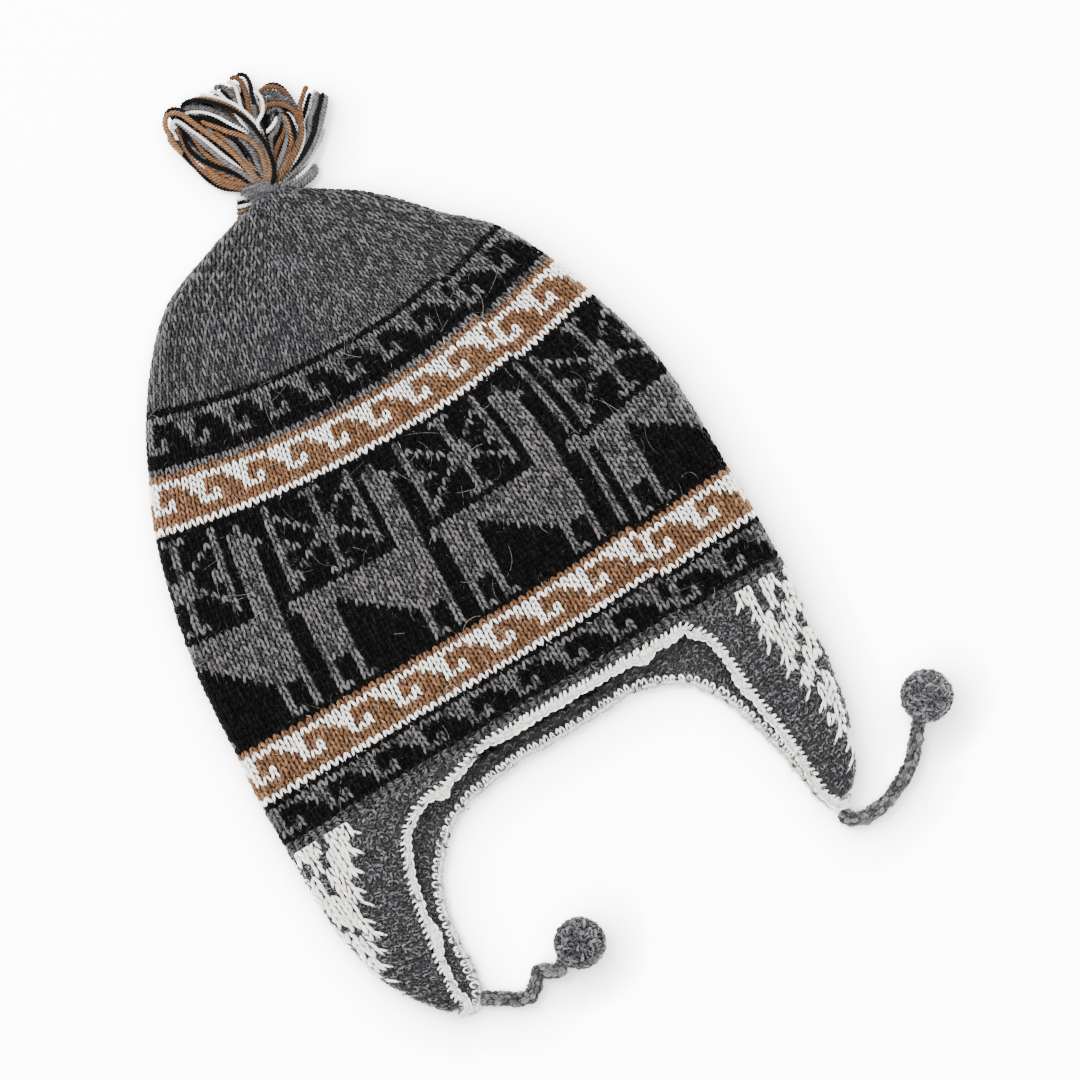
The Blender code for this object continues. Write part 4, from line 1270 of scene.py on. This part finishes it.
for face, on_face in ((1, stitch < tip_s / mm_row), (-1, stitch >= tip_s / mm_row)):
    for places, column, points, wide in (
        (stitch, 0.95, ((-0.5, -0.7, 0.0), (-0.75, 0.0, 0.7), (0.1, 0.75, 0.1)), 0.42),
        (stitch, 1.25, ((0.4, -0.7, 0.0), (0.75, 0.0, 0.7), (-0.1, 0.75, 0.1)), 0.42),
        (stitch + 0.5, 2.2, ((0.7, 0.3, 0.0), (0.1, 0.0, 0.6), (-0.7, -0.3, 0.0)), 0.45),
        (stitch, 0.2, ((0.2, -0.6, 0.0), (-0.5, 0.0, 0.7), (0.2, 0.6, 0.0)), 0.42),
    ):
        parts.append(stitch_tubes(
            band_at, face, np.full(on_face.sum(), column), places[on_face], BAND_PITCH, mm_row,
            stroke(points, wide, 0.34), 3, 5, 1.4,
        ))
FRONT_TOOTH = ((2.2, 0.1, 0.8), (1.1, 0.0, 2.0), (0.1, -0.14, 2.4), (-0.6, -0.34, 1.8))
RIM_TOOTH = ((2.6, -0.2, 0.8), (1.3, 0.0, 2.1), (0.2, 0.12, 2.5), (-0.65, 0.3, 1.9))
BACK_TOOTH = ((1.6, -0.26, 0.8), (-0.3, -0.24, 1.9), (-1.2, 0.1, 2.2), (-0.3, 0.26, 1.9), (1.6, 0.2, 0.8))
BACK_RIM_TOOTH = (
    (1.6, -0.24, 0.8), (-0.2, -0.2, 2.0), (-1.5, 0.0, 2.3), (-0.2, 0.2, 2.0), (1.6, 0.24, 0.8),
)
BACK_TOOTH_LEFT = (
    (1.6, -0.2, 0.8), (-0.3, -0.26, 1.9), (-1.2, -0.1, 2.2), (-0.3, 0.24, 1.9), (1.6, 0.26, 0.8),
)
for face, first, last, step, points, wide, rings in (
    (1, 3.0, rim_from, 2.7, FRONT_TOOTH, 0.74, 4),
    (1, rim_from, rim_to, 2.2, RIM_TOOTH, 0.8, 4),
    (1, rim_to, tip_s - 6, 2.7, [(x, -y, z) for x, y, z in FRONT_TOOTH], 0.74, 4),
    (-1, tip_s + 6, back_from, 3.4, BACK_TOOTH, 0.62, 7),
    (-1, back_from, back_to, 2.6, BACK_RIM_TOOTH, 0.56, 7),
    (-1, back_to, EDGE_LONG - 6, 3.4, BACK_TOOTH_LEFT, 0.62, 7),
):
    places = scatter(first, last, step)
    parts.append(stitch_tubes(
        over_at, face, 0 * places, places, 1.0, mm_row, stroke(points, wide, 0.8 * wide, 0.35, 0.25),
        rings, 5, 1.8,
    ))
for face, reach in ((1, (0, tip_s / mm_row)), (-1, (tip_s / mm_row, EDGE_STITCHES))):
    parts.append(hairs(
        band_at, face, rng.uniform(-0.5, 2.8, EDGING_HAIRS), rng.uniform(*reach, EDGING_HAIRS),
        BAND_PITCH, mm_row, 2.4, HAIR, 0.9,
    ))
strokes = add_yarn("edging_stitches", parts, edging_wool)
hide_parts("edging")
for piece in (band, strokes):
    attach(piece, "root")

# Tassel
# Loops of plied yarn in the hat's own colours, gathered where the grey yarn is wound round
# them. They fan out flat beyond the tip, some over others, and lie on the floor.
PLY_STEP = 0.48
PLY_LAY = 4.2                   # length in which the plies go once round
STRAND = 1.24                   # half a strand's thickness, and that of each colour
STRANDS_OF = {"K": 1.16, "C": 1.28, "W": 0.96, "G": 1.42}
LOCK_STRANDS = 8                # plain strands under the ones in view
TASSEL_LOCKS = (                # x and y of its root, bend and tip, and half its width
    (2.5, 155.0, -9.5, 172.0, -14.5, 196.0, 6.5),
    (4.5, 155.0, 8.0, 174.0, -1.5, 193.0, 8.4),
    (7.0, 156.0, 13.0, 178.0, 16.5, 193.0, 4.4),
    (8.0, 155.5, 22.0, 164.0, 27.0, 181.0, 6.2),
    (8.5, 154.6, 28.0, 156.5, 43.0, 172.0, 3.4),
)
STRANDS = (                    # colour, height over the floor, and x and y of its points in turn
    ("G", 2.0, (-10.8, 194.9, -4.8, 194.3, 0.6, 189.1, 5.4, 181.8, 9.0, 173.2, 10.0, 162.9, 8.4, 153.8)),
    ("K", 1.7, (-9.9, 195.6, -4.3, 195.3, -0.1, 191.9, 5.1, 185.2, 9.1, 176.5, 10.5, 166.9, 8.9, 156.8)),
    ("G", 1.7, (-8.8, 190.0, -4.4, 186.0, 0.2, 180.2, 4.2, 171.5, 5.8, 161.3, 6.6, 152.6)),
    ("C", 1.6, (-19.9, 186.7, -19.4, 180.5, -17.7, 173.5, -14.7, 166.9, -10.6, 160.3, -4.1, 154.0)),
    ("G", 1.8, (-17.8, 184.5, -17.4, 178.2, -15.7, 171.3, -12.4, 165.1, -7.2, 158.5, -1.4, 153.1)),
    ("G", 2.4, (11.9, 193.6, 13.0, 189.7, 13.3, 184.1, 13.0, 177.6, 12.8, 171.2, 12.2, 164.9)),
    ("G", 3.0, (18.3, 185.2, 17.1, 182.0, 16.1, 178.2, 15.5, 174.1, 14.5, 169.2)),
    ("G", 2.6, (22.8, 184.4, 25.1, 183.7, 28.3, 181.4, 30.1, 177.7, 31.0, 173.4, 30.6, 168.6, 29.0, 164.6)),
    ("K", 2.0, (22.7, 181.2, 25.2, 180.9, 28.0, 178.9, 29.6, 175.8, 29.9, 171.2, 28.6, 167.0)),
    ("C", 7.4, (40.5, 178.7, 38.3, 176.6, 35.8, 174.1, 33.8, 171.9, 32.5, 168.7, 31.4, 165.5)),
    ("G", 2.2, (43.8, 173.6, 40.8, 170.2, 37.3, 166.7, 33.7, 163.1, 29.7, 159.8, 25.3, 156.7, 19.6, 153.3,
        12.8, 150.9)),
    ("G", 1.8, (41.3, 172.2, 38.2, 168.4, 33.7, 164.2, 29.7, 160.9, 24.7, 157.6, 18.5, 154.4, 11.9, 151.4)),
    ("K", 2.6, (4.9, 148.6, -1.3, 151.2, -6.3, 154.1, -10.7, 157.1, -14.4, 162.4, -17.0, 170.9, -18.7,
        177.8, -18.7, 182.8, -18.0, 185.7)),
    ("C", 3.4, (5.2, 149.0, -2.0, 152.0, -6.0, 154.8, -8.8, 157.7, -11.9, 162.1, -15.0, 168.4, -16.6, 174.5,
        -16.9, 180.2, -16.3, 184.8)),
    ("W", 2.8, (5.4, 149.4, -5.2, 156.2, -10.7, 164.2, -15.2, 172.1, -16.9, 178.0, -17.0, 182.4)),
    ("G", 3.0, (5.9, 148.9, 1.4, 152.1, -3.2, 155.7, -7.3, 162.4, -11.5, 167.9, -14.9, 173.6, -16.2, 179.3,
        -15.7, 183.3)),
    ("C", 4.0, (5.5, 149.6, -1.1, 153.5, -7.4, 158.3, -10.4, 161.8, -12.6, 166.8, -13.5, 171.2)),
    ("K", 4.6, (6.3, 149.0, 1.4, 152.1, -1.5, 157.0, -4.6, 162.3, -7.9, 165.4, -11.6, 169.6, -14.7, 175.1,
        -15.8, 180.1, -15.2, 184.2, -14.0, 187.4)),
    ("C", 4.4, (6.2, 149.3, 0.7, 156.9, -3.8, 163.7, -7.6, 168.0, -10.6, 173.5, -11.7, 179.5, -12.0,
        184.1)),
    ("G", 5.2, (6.5, 148.8, 2.3, 152.8, -0.5, 158.7, -4.0, 164.4, -6.8, 171.4, -9.6, 178.4, -11.8, 184.5,
        -13.5, 189.3, -15.6, 192.6)),
    ("W", 6.0, (6.6, 149.1, 2.9, 152.9, 1.0, 158.4, -1.9, 164.3, -4.2, 169.2, -6.3, 174.4, -8.7, 180.1,
        -11.3, 185.4, -13.6, 190.2, -15.2, 191.9, -17.4, 190.8, -18.3, 187.5, -18.0, 184.1)),
    ("G", 5.4, (-19.0, 186.3, -20.2, 189.1, -19.8, 192.2, -18.3, 194.7, -15.7, 195.4, -12.8, 194.7, -10.2,
        192.4)),
    ("C", 7.0, (6.7, 149.3, 2.8, 154.7, 1.7, 160.8, 0.2, 167.1, -2.8, 174.7, -5.6, 180.6, -7.4, 184.4, -9.5,
        188.8, -11.3, 192.5, -13.8, 194.9, -16.8, 195.5, -19.2, 193.0, -20.2, 189.1, -20.0, 183.5, -19.1,
        178.1)),
    ("K", 6.4, (-9.8, 193.1, -11.8, 195.5, -13.9, 196.8, -16.4, 196.6, -18.5, 194.8)),
    ("C", 2.0, (-6.1, 154.5, -11.3, 159.0, -15.0, 166.5, -17.7, 173.5, -19.5, 179.4, -20.8, 184.0, -21.2,
        187.4)),
    ("K", 9.0, (7.8, 148.7, 11.1, 152.4, 13.0, 158.4, 13.7, 164.7, 13.2, 170.9, 11.7, 177.2, 9.2, 182.7,
        6.8, 186.3, 3.3, 190.0, -0.3, 193.4, -4.0, 195.7, -8.0, 196.5, -10.5, 195.4)),
    ("G", 6.6, (7.3, 148.9, 9.0, 153.5, 10.0, 159.0, 10.3, 166.5, 9.0, 173.2, 5.7, 180.3, 2.3, 186.2, -2.6,
        191.3, -6.9, 193.4, -9.7, 194.4)),
    ("C", 7.6, (7.3, 148.9, 11.0, 155.7, 13.8, 167.9, 13.3, 173.1, 11.9, 178.5, 8.9, 184.2, 5.9, 188.7, 2.0,
        192.7, -2.5, 195.5, -5.4, 196.2)),
    ("W", 7.8, (7.5, 148.8, 11.9, 156.3, 14.6, 167.4, 14.5, 173.3, 13.4, 178.3, 11.6, 183.1, 9.4, 187.0,
        7.1, 189.9, 3.0, 193.5, -0.9, 196.4)),
    ("W", 6.8, (7.0, 149.4, 9.3, 156.6, 10.6, 168.0, 8.7, 173.7, 4.8, 179.6, 0.9, 185.6, -3.4, 189.8, -8.5,
        192.6)),
    ("K", 6.2, (6.9, 149.1, 8.9, 156.8, 10.0, 165.0, 8.5, 171.3, 4.9, 176.8, 1.0, 181.7, -3.4, 186.8, -7.8,
        189.8, -9.6, 191.6)),
    ("C", 7.0, (6.7, 149.3, 7.9, 154.1, 9.4, 158.8, 10.2, 163.3, 9.4, 167.8, 6.2, 173.1, 1.9, 177.4, -0.7,
        180.7, -3.8, 184.0, -5.6, 186.7)),
    ("C", 4.8, (5.9, 150.3, 5.6, 155.9, 3.2, 161.6, 0.6, 167.9, 0.4, 172.5, -1.2, 176.6, -3.0, 180.3)),
    ("K", 5.4, (6.2, 149.8, 5.4, 155.5, 5.8, 161.3, 5.6, 166.9, 4.4, 171.9, 2.2, 175.8, -1.5, 181.1)),
    ("G", 5.8, (6.4, 149.7, 6.2, 153.9, 6.6, 158.7, 7.2, 163.8, 6.3, 169.2, 3.9, 173.8, 1.0, 177.6)),
    ("G", 5.0, (5.7, 150.4, 3.4, 154.9, 2.5, 160.3, 2.1, 166.6, 1.2, 172.0, -1.9, 176.4)),
    ("K", 4.2, (5.7, 150.0, 4.5, 153.8, 2.5, 158.1, -0.8, 164.3, -2.7, 170.8, -4.4, 177.8, -6.2, 182.6)),
    ("K", 6.0, (6.7, 149.8, 12.2, 157.8, 15.4, 169.8, 16.3, 178.6, 18.7, 186.6, 20.0, 190.9, 19.8, 194.6,
        18.4, 196.0, 16.3, 196.3)),
    ("C", 6.8, (6.7, 149.8, 11.3, 158.3, 13.7, 170.7, 14.4, 180.2, 16.1, 185.8, 17.0, 190.6, 16.8, 194.2,
        15.4, 196.2, 13.3, 196.4)),
    ("W", 6.4, (6.5, 149.9, 11.6, 160.9, 12.5, 173.6, 12.0, 183.4, 13.2, 188.5, 13.9, 192.3, 13.1, 194.9,
        11.7, 195.9)),
    ("W", 5.6, (6.7, 149.8, 13.1, 165.6, 15.7, 180.6, 18.2, 189.1, 18.3, 192.3, 18.0, 194.4)),
    ("G", 6.0, (6.5, 149.9, 11.3, 163.2, 11.3, 176.4, 11.4, 185.7, 11.1, 190.2, 9.9, 194.1, 7.6, 195.9, 5.5,
        196.0)),
    ("K", 5.0, (6.5, 149.9, 11.4, 166.5, 11.3, 178.6, 9.9, 187.0, 8.8, 192.0, 8.1, 194.8)),
    ("W", 5.6, (6.5, 149.9, 10.5, 164.8, 9.2, 178.6, 8.2, 186.9, 7.4, 191.4, 6.0, 194.1, 3.5, 196.0)),
    ("C", 4.4, (6.3, 150.0, 9.6, 165.2, 8.0, 180.4, 6.5, 187.8, 5.5, 192.1, 4.4, 194.1)),
    ("G", 4.8, (6.1, 150.1, 8.2, 162.7, 7.0, 176.5, 3.9, 187.0, 1.5, 193.8, -0.8, 196.7)),
    ("G", 7.0, (7.4, 149.1, 11.7, 158.0, 14.1, 169.4, 14.9, 175.5, 16.4, 180.2, 17.6, 184.0, 18.3, 186.8)),
    ("W", 7.8, (7.7, 149.0, 12.5, 160.4, 13.9, 170.6, 14.9, 174.4, 18.4, 176.9, 20.4, 179.7, 21.2, 183.1,
        20.8, 185.8, 19.4, 187.3)),
    ("K", 4.4, (19.9, 182.2, 22.8, 185.5, 26.1, 186.5, 29.3, 185.3, 31.1, 182.6, 31.9, 178.9, 32.1, 174.4,
        31.5, 169.2, 30.3, 163.9, 25.8, 158.7, 18.7, 153.7, 10.6, 148.8)),
    ("C", 5.4, (20.1, 183.7, 22.7, 185.8, 25.7, 185.8, 28.7, 184.2, 30.9, 181.1, 31.4, 177.6, 31.4, 173.1,
        30.4, 168.2, 26.3, 161.7, 19.7, 156.5, 11.0, 149.7)),
    ("G", 6.0, (21.2, 181.5, 23.2, 184.2, 26.0, 183.2, 28.8, 180.3, 31.1, 176.6, 32.3, 172.7, 32.0, 169.0,
        28.5, 162.7, 21.8, 155.3, 11.2, 149.0)),
    ("G", 6.8, (20.5, 180.2, 24.2, 180.9, 27.2, 179.5, 29.9, 176.4, 31.4, 173.1, 31.7, 169.1, 30.5, 164.9,
        25.8, 158.7, 19.4, 153.9, 10.8, 149.2)),
    ("C", 7.8, (18.6, 176.8, 21.2, 179.0, 25.4, 178.1, 28.8, 175.3, 30.8, 171.9, 31.3, 167.7, 30.5, 163.8,
        28.7, 160.9, 24.0, 156.3, 17.4, 152.2, 10.1, 149.0)),
    ("W", 7.0, (21.8, 174.5, 25.1, 175.5, 27.3, 173.6, 28.8, 170.2, 29.0, 165.7, 28.3, 161.7, 26.0, 158.5,
        21.6, 154.9, 15.2, 151.2, 9.7, 149.3)),
    ("K", 6.0, (25.4, 174.2, 27.3, 171.5, 27.4, 167.7, 26.6, 162.6, 23.8, 157.5, 19.8, 153.7, 14.3, 150.6,
        9.1, 149.1)),
    ("C", 5.6, (26.1, 173.3, 25.9, 170.1, 23.2, 166.1, 18.6, 162.6, 14.8, 159.1, 12.1, 155.1, 8.2, 149.5)),
    ("C", 5.2, (27.1, 172.2, 26.3, 167.2, 23.5, 161.0, 19.4, 155.5, 14.6, 152.1, 8.6, 149.3)),
    ("K", 5.0, (24.1, 173.8, 24.0, 170.6, 21.3, 166.6, 16.9, 163.5, 12.6, 157.6, 8.2, 149.5)),
    ("G", 5.4, (25.6, 173.5, 23.4, 170.9, 20.5, 168.1, 16.8, 166.3, 15.2, 163.3, 12.4, 157.7, 8.0, 149.6)),
    ("W", 6.2, (26.3, 173.7, 24.3, 173.2, 20.1, 170.5, 15.6, 169.1)),
    ("G", 4.8, (19.9, 176.1, 22.5, 176.9, 25.1, 176.6, 26.1, 173.3, 24.8, 166.9, 20.2, 158.4, 12.2, 151.8,
        8.6, 149.3)),
    ("K", 3.6, (16.3, 171.5, 17.7, 175.1, 20.4, 177.0, 23.6, 176.9)),
    ("K", 5.4, (26.9, 165.7, 22.0, 160.7, 16.7, 157.0, 13.1, 154.5, 8.2, 149.5)),
    ("G", 5.8, (23.3, 163.3, 18.4, 158.3, 13.6, 154.3, 8.2, 149.5)),
    ("C", 6.6, (41.0, 178.1, 39.1, 177.2, 36.2, 174.4, 33.1, 171.1, 30.8, 165.8, 27.4, 160.5, 20.5, 154.9,
        10.6, 148.8)),
    ("K", 4.0, (40.6, 175.3, 37.7, 172.5, 34.3, 168.8, 30.7, 163.7, 26.2, 158.4, 19.6, 153.3, 10.8, 148.2)),
    ("W", 5.6, (43.0, 175.7, 39.6, 172.0, 35.8, 168.6, 32.1, 165.7, 29.3, 160.0, 23.5, 154.4, 17.3, 151.2,
        10.6, 147.9)),
    ("G", 5.0, (43.4, 174.4, 40.2, 170.0, 35.7, 165.9, 31.9, 160.8, 27.4, 156.7, 20.8, 152.6, 11.2, 147.9)),
    ("K", 5.6, (45.5, 172.7, 42.1, 169.5, 38.5, 165.5, 35.4, 161.1, 30.5, 157.2, 24.5, 153.3, 17.9, 150.3,
        11.1, 147.7)),
    ("G", 4.8, (46.1, 171.2, 42.9, 166.9, 38.4, 161.7, 33.7, 157.1, 27.5, 152.8, 19.9, 149.8, 11.4, 147.3)),
    ("G", 3.6, (44.4, 172.7, 40.3, 166.2, 34.0, 159.7, 26.9, 154.7, 19.5, 151.1, 11.0, 147.5)),
    ("W", 3.4, (39.0, 159.2, 35.4, 155.1, 30.7, 151.6, 25.0, 148.1, 18.7, 146.6, 12.2, 145.7, 8.9, 146.7)),
    ("G", 2.8, (8.8, 146.5, 14.1, 146.3, 20.6, 147.2, 25.4, 147.9, 27.4, 147.1, 26.9, 145.1, 24.2, 143.6,
        19.4, 142.9, 14.0, 143.1, 8.5, 145.0)),
    ("G", 2.2, (8.8, 146.5, 14.1, 145.2, 20.4, 145.7, 24.5, 146.2, 26.0, 145.9, 23.6, 144.5, 18.8, 143.8,
        13.4, 144.0, 8.7, 145.4)),
)


def lock_curve(root, bend, tip, t):
    """Points on the parabola through a lock's middle, and unit vectors across it."""
    spot = (1 - t) ** 2 * root + 2 * t * (1 - t) * bend + t * t * tip
    run = 2 * (1 - t) * (bend - root) + 2 * t * (tip - bend)
    return spot, np.column_stack([-run[:, 1], run[:, 0]]) / np.hypot(*run.T)[:, None]


def plied(line, radius, lay=PLY_LAY):
    """A three-ply yarn along a line: a star of six corners that turns as it goes."""
    run = np.gradient(line, axis=0)
    run /= np.linalg.norm(run, axis=1)[:, None]
    side = np.cross(run, (0.0, 0.0, 1.0))
    side /= np.linalg.norm(side, axis=1)[:, None]
    up = np.cross(side, run)
    length = lengths(line)
    angle = angles(6) + length[:, None] * 2 * math.pi / lay
    star = radius * np.where(np.arange(6) % 2 == 0, 1.0, 0.64)
    ends = np.minimum(1, np.minimum(length, length[-1] - length) / 1.2 + 0.35)
    reach = star * ends[:, None]
    rings = line[:, None] + (reach * np.cos(angle))[..., None] * side[:, None]
    rings = rings + (reach * np.sin(angle))[..., None] * up[:, None]
    # the six inner corners, the grooves between plies, are marked for painted shade
    return tube_arrays(rings[None], line[:1], line[-1:], np.arange(6) % 2 == 1)


def strand(route, height, step=PLY_STEP, low=False):
    """A strand's line: it leaves the neck, rises to its height over the others and sinks again.

    A low one leaves the neck below the others and comes up between them.
    """
    points = np.reshape(route, (-1, 2))
    reach = lengths(points)
    count = max(8, int(reach[-1] / step))
    plan = cubic(reach, points, np.linspace(0, reach[-1], count))
    t = np.linspace(0, 1, count)
    start = 2.0 if low else 1.6 + 0.62 * height
    climb = (height - start) * hump(t / (0.55 if low else 0.4))
    z = start + climb - 0.35 * (height - 1.3) * hump((t - 0.7) / 0.3)
    z = z + 0.25 * np.sin(t * 9 + height * 5)
    return np.column_stack([plan, np.maximum(z, STRAND + 0.05)])


tones = {"K": [], "C": [], "W": [], "G": []}
for tone, height, route in STRANDS:
    tones[tone].append(plied(strand(route, height, low=tone == "W"), STRANDS_OF[tone]))
for *corners, half_w in TASSEL_LOCKS:
    root, bend, tip = np.reshape(corners, (3, 2))
    for n in range(LOCK_STRANDS):
        u = (n - 3.5) / 4
        t = np.linspace(0, 1, 9)[:, None]
        spot, aside = lock_curve(root, bend, tip, t)
        route = spot + aside * u * half_w * np.sin(math.pi * np.clip(t * 0.75 + 0.12, 0, 1)) * 1.1
        route = route[: 9 - int(rng.integers(0, 2))]
        tone = "KCGGKGCK"[int(rng.integers(0, 8))]
        tones[tone].append(plied(strand(route, 1.5 + 1.8 * (n % 2), 0.9), STRAND, 9.0))
    t = np.linspace(0.06, 0.86, 12)[:, None]
    middle, aside = lock_curve(root, bend, tip, t)
    spread = half_w * 0.8 * np.sin(math.pi * np.clip(t * 0.8 + 0.12, 0, 1))
    angle = angles(12)
    plan = middle[:, None] + (spread * np.cos(angle))[..., None] * aside[:, None]
    rings = np.dstack([plan, np.tile(1.5 + 1.3 * np.sin(angle), (12, 1))])
    ends = (np.array([[*middle[e], 1.5]]) for e in (0, -1))
    tones["K"].append(tube_arrays(rings[None], *ends))
tassel_wools = {
    "K": wool("tassel_black", (0.0008, 0.0007, 0.0010), (0.0082, 0.0075, 0.0088), 0.25),
    "C": wool("tassel_camel", (0.0850, 0.0390, 0.0185), (0.3040, 0.1600, 0.0800), 0.66, painted_crevice_shade=0.8),
    "W": wool("tassel_white", (0.55, 0.53, 0.50), (0.88, 0.87, 0.85), 0.85, painted_crevice_shade=0.35),
    "G": wool(
        "tassel_grey", (0.0048, 0.0044, 0.0051), (0.1900, 0.1800, 0.1800), 0.3, painted_crevice_shade=0.6, streak=0.56,
    ),
}
TONE_NAMES = {"K": "black", "C": "camel", "W": "white", "G": "grey"}
for tone, parts in tones.items():
    piece = add_yarn(f"tassel_{TONE_NAMES[tone]}_yarn", parts, tassel_wools[tone])
    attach(piece, "root")
    if tone == "K":
        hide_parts("tassel")

# Tassel binding and tail
# The grey yarn that closes the tip goes round the neck of the tassel a few times. The cut ends
# of some strands stick out under it at one side.
BINDING_X, BINDING_Z = 2.2, 4.2
BINDING_R, BINDING_TURNS, BINDING_HAIRS = 6.8, 4.2, 500
t = np.linspace(0, 1, 300)
turn = t * 2 * math.pi * BINDING_TURNS
swing = 0.6 * np.sin(turn + 0.8)
line = np.column_stack([
    BINDING_X + (BINDING_R + 0.8 * np.sin(math.pi * t)) * np.cos(turn),
    147.1 - 0.22 * np.cos(turn) * BINDING_R + 3.6 * t + swing,
    BINDING_Z + (3.0 + 0.3 * np.sin(math.pi * t)) * np.sin(turn),
])
core = np.column_stack([np.full(9, BINDING_X), np.linspace(145.2, 152.2, 9), np.full(9, BINDING_Z)])
angle = angles(16)
ring = np.stack([6.6 * np.cos(angle), -1.4 * np.cos(angle), 3.1 * np.sin(angle)], axis=-1)
rings = core[:, None] + ring[None]
binding_wool = wool("binding_wool", YARNS["P"][1], YARNS["P"][2], 0.8)


def binding_at(seat, column, row, lift):
    """Places round the binding: the column is the angle, the row how far along the neck."""
    return np.stack([
        BINDING_X + (7.4 + lift) * np.cos(column), 145.8 + row - 1.5 * np.cos(column),
        np.maximum(BINDING_Z + (3.7 + lift) * np.sin(column), 0.1),
    ], axis=-1)


parts = [plied(line, 1.15, 4.4), tube_arrays(rings[None], core[:1], core[-1:])]
parts.append(hairs(
    binding_at, 0.0, rng.uniform(0, 6.28, BINDING_HAIRS), rng.uniform(0, 6, BINDING_HAIRS),
    4.0, 1.0, 3.0, FLAP_HAIR, 0.9,
))
binding = add_yarn("binding_yarn", parts, binding_wool)
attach(binding, "root")
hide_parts("tassel_binding")
TAIL = (                       # as in STRANDS
    ("W", 5.4, (1.0, 148.6, -3.5, 149.2, -8.0, 150.4)),
    ("K", 4.6, (1.0, 147.6, -4.0, 147.6, -9.0, 148.9)),
    ("W", 4.2, (0.6, 146.6, -4.4, 146.2, -9.8, 147.6)),
    ("K", 3.0, (0.6, 147.0, -5.0, 146.6, -10.2, 146.6)),
    ("C", 3.6, (0.6, 145.6, -4.6, 144.8, -10.8, 145.2)),
    ("G", 2.4, (0.6, 146.0, -5.0, 144.4, -11.4, 143.6)),
    ("C", 1.9, (0.4, 147.6, -5.0, 147.4, -10.0, 147.6)),
    ("G", 2.4, (2.0, 147.0, -4.0, 148.4, -8.4, 150.4)),
    ("G", 2.2, (2.0, 145.4, -4.5, 145.8, -10.0, 147.6)),
    ("G", 2.0, (1.0, 144.6, -5.0, 144.2, -11.2, 145.4)),
    ("G", 2.0, (0.0, 143.6, -6.0, 142.8, -12.0, 143.4)),
)
tail_tones = {"K": [], "C": [], "W": [], "G": []}
for tone, height, route in TAIL:
    tail_tones[tone].append(plied(strand(route, height), STRAND * 0.92))
for tone, parts in tail_tones.items():
    piece = add_yarn(f"tail_{TONE_NAMES[tone]}_yarn", parts, tassel_wools[tone])
    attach(piece, "root")
    if tone == "K":
        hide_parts("tassel_tail")

# Floor and light
# A white floor under soft light from the upper left of the picture. It glows evenly, and near the hat its
# glow is darkened into a painted shadow to the lower right.
bpy.ops.mesh.primitive_plane_add(size=6)
floor = bpy.context.object
floor.name = "floor"
paint = Finish("floor_paint")
paint.feed(paint.shader, "Base Color", (0.92, 0.92, 0.92))
# painted shadow: the floor's glow fades where the hat hides it from the upper left
painted_shadow_tilt = paint.node("ShaderNodeCombineXYZ", None, {"X": -0.35, "Y": 0.75, "Z": 0.75}).outputs[0]
painted_shadow_ao = paint.value(
    "ShaderNodeAmbientOcclusion", None, {"Normal": painted_shadow_tilt, "Distance": 0.022}, output=1
)
floor_glow_with_painted_shadow = paint.mix(painted_shadow_ao * painted_shadow_ao * painted_shadow_ao * painted_shadow_ao, (0.0, 0.0, 0.0), (1.0, 1.0, 1.0))
paint.feed(paint.shader, "Emission Color", floor_glow_with_painted_shadow)
paint.feed(paint.shader, "Emission Strength", 9.0)
paint.feed(paint.shader, "Roughness", 0.7)
floor.data.materials.append(paint.material)


def area_light(name, x, y, z, size, power):
    """A square soft light that looks at the hat."""
    data = bpy.data.lights.new(name, "AREA")
    data.size = size
    data.energy = power
    made = bpy.data.objects.new(name, data)
    made.location = (x, y, z)
    aim = np.array([-x, -y, -z])
    made.rotation_euler = (math.acos(-aim[2] / np.linalg.norm(aim)), 0, math.atan2(aim[0], -aim[1]))
    bpy.context.scene.collection.objects.link(made)


area_light("key", -0.45, 1.15, 1.5, 0.9, 228)
area_light("fill", 0.9, -0.6, 1.6, 1.6, 40)
world = bpy.data.worlds.new("studio")
world.use_nodes = True
world.node_tree.nodes["Background"].inputs[0].default_value = (1, 1, 1, 1)
world.node_tree.nodes["Background"].inputs[1].default_value = 2.42
bpy.context.scene.world = world
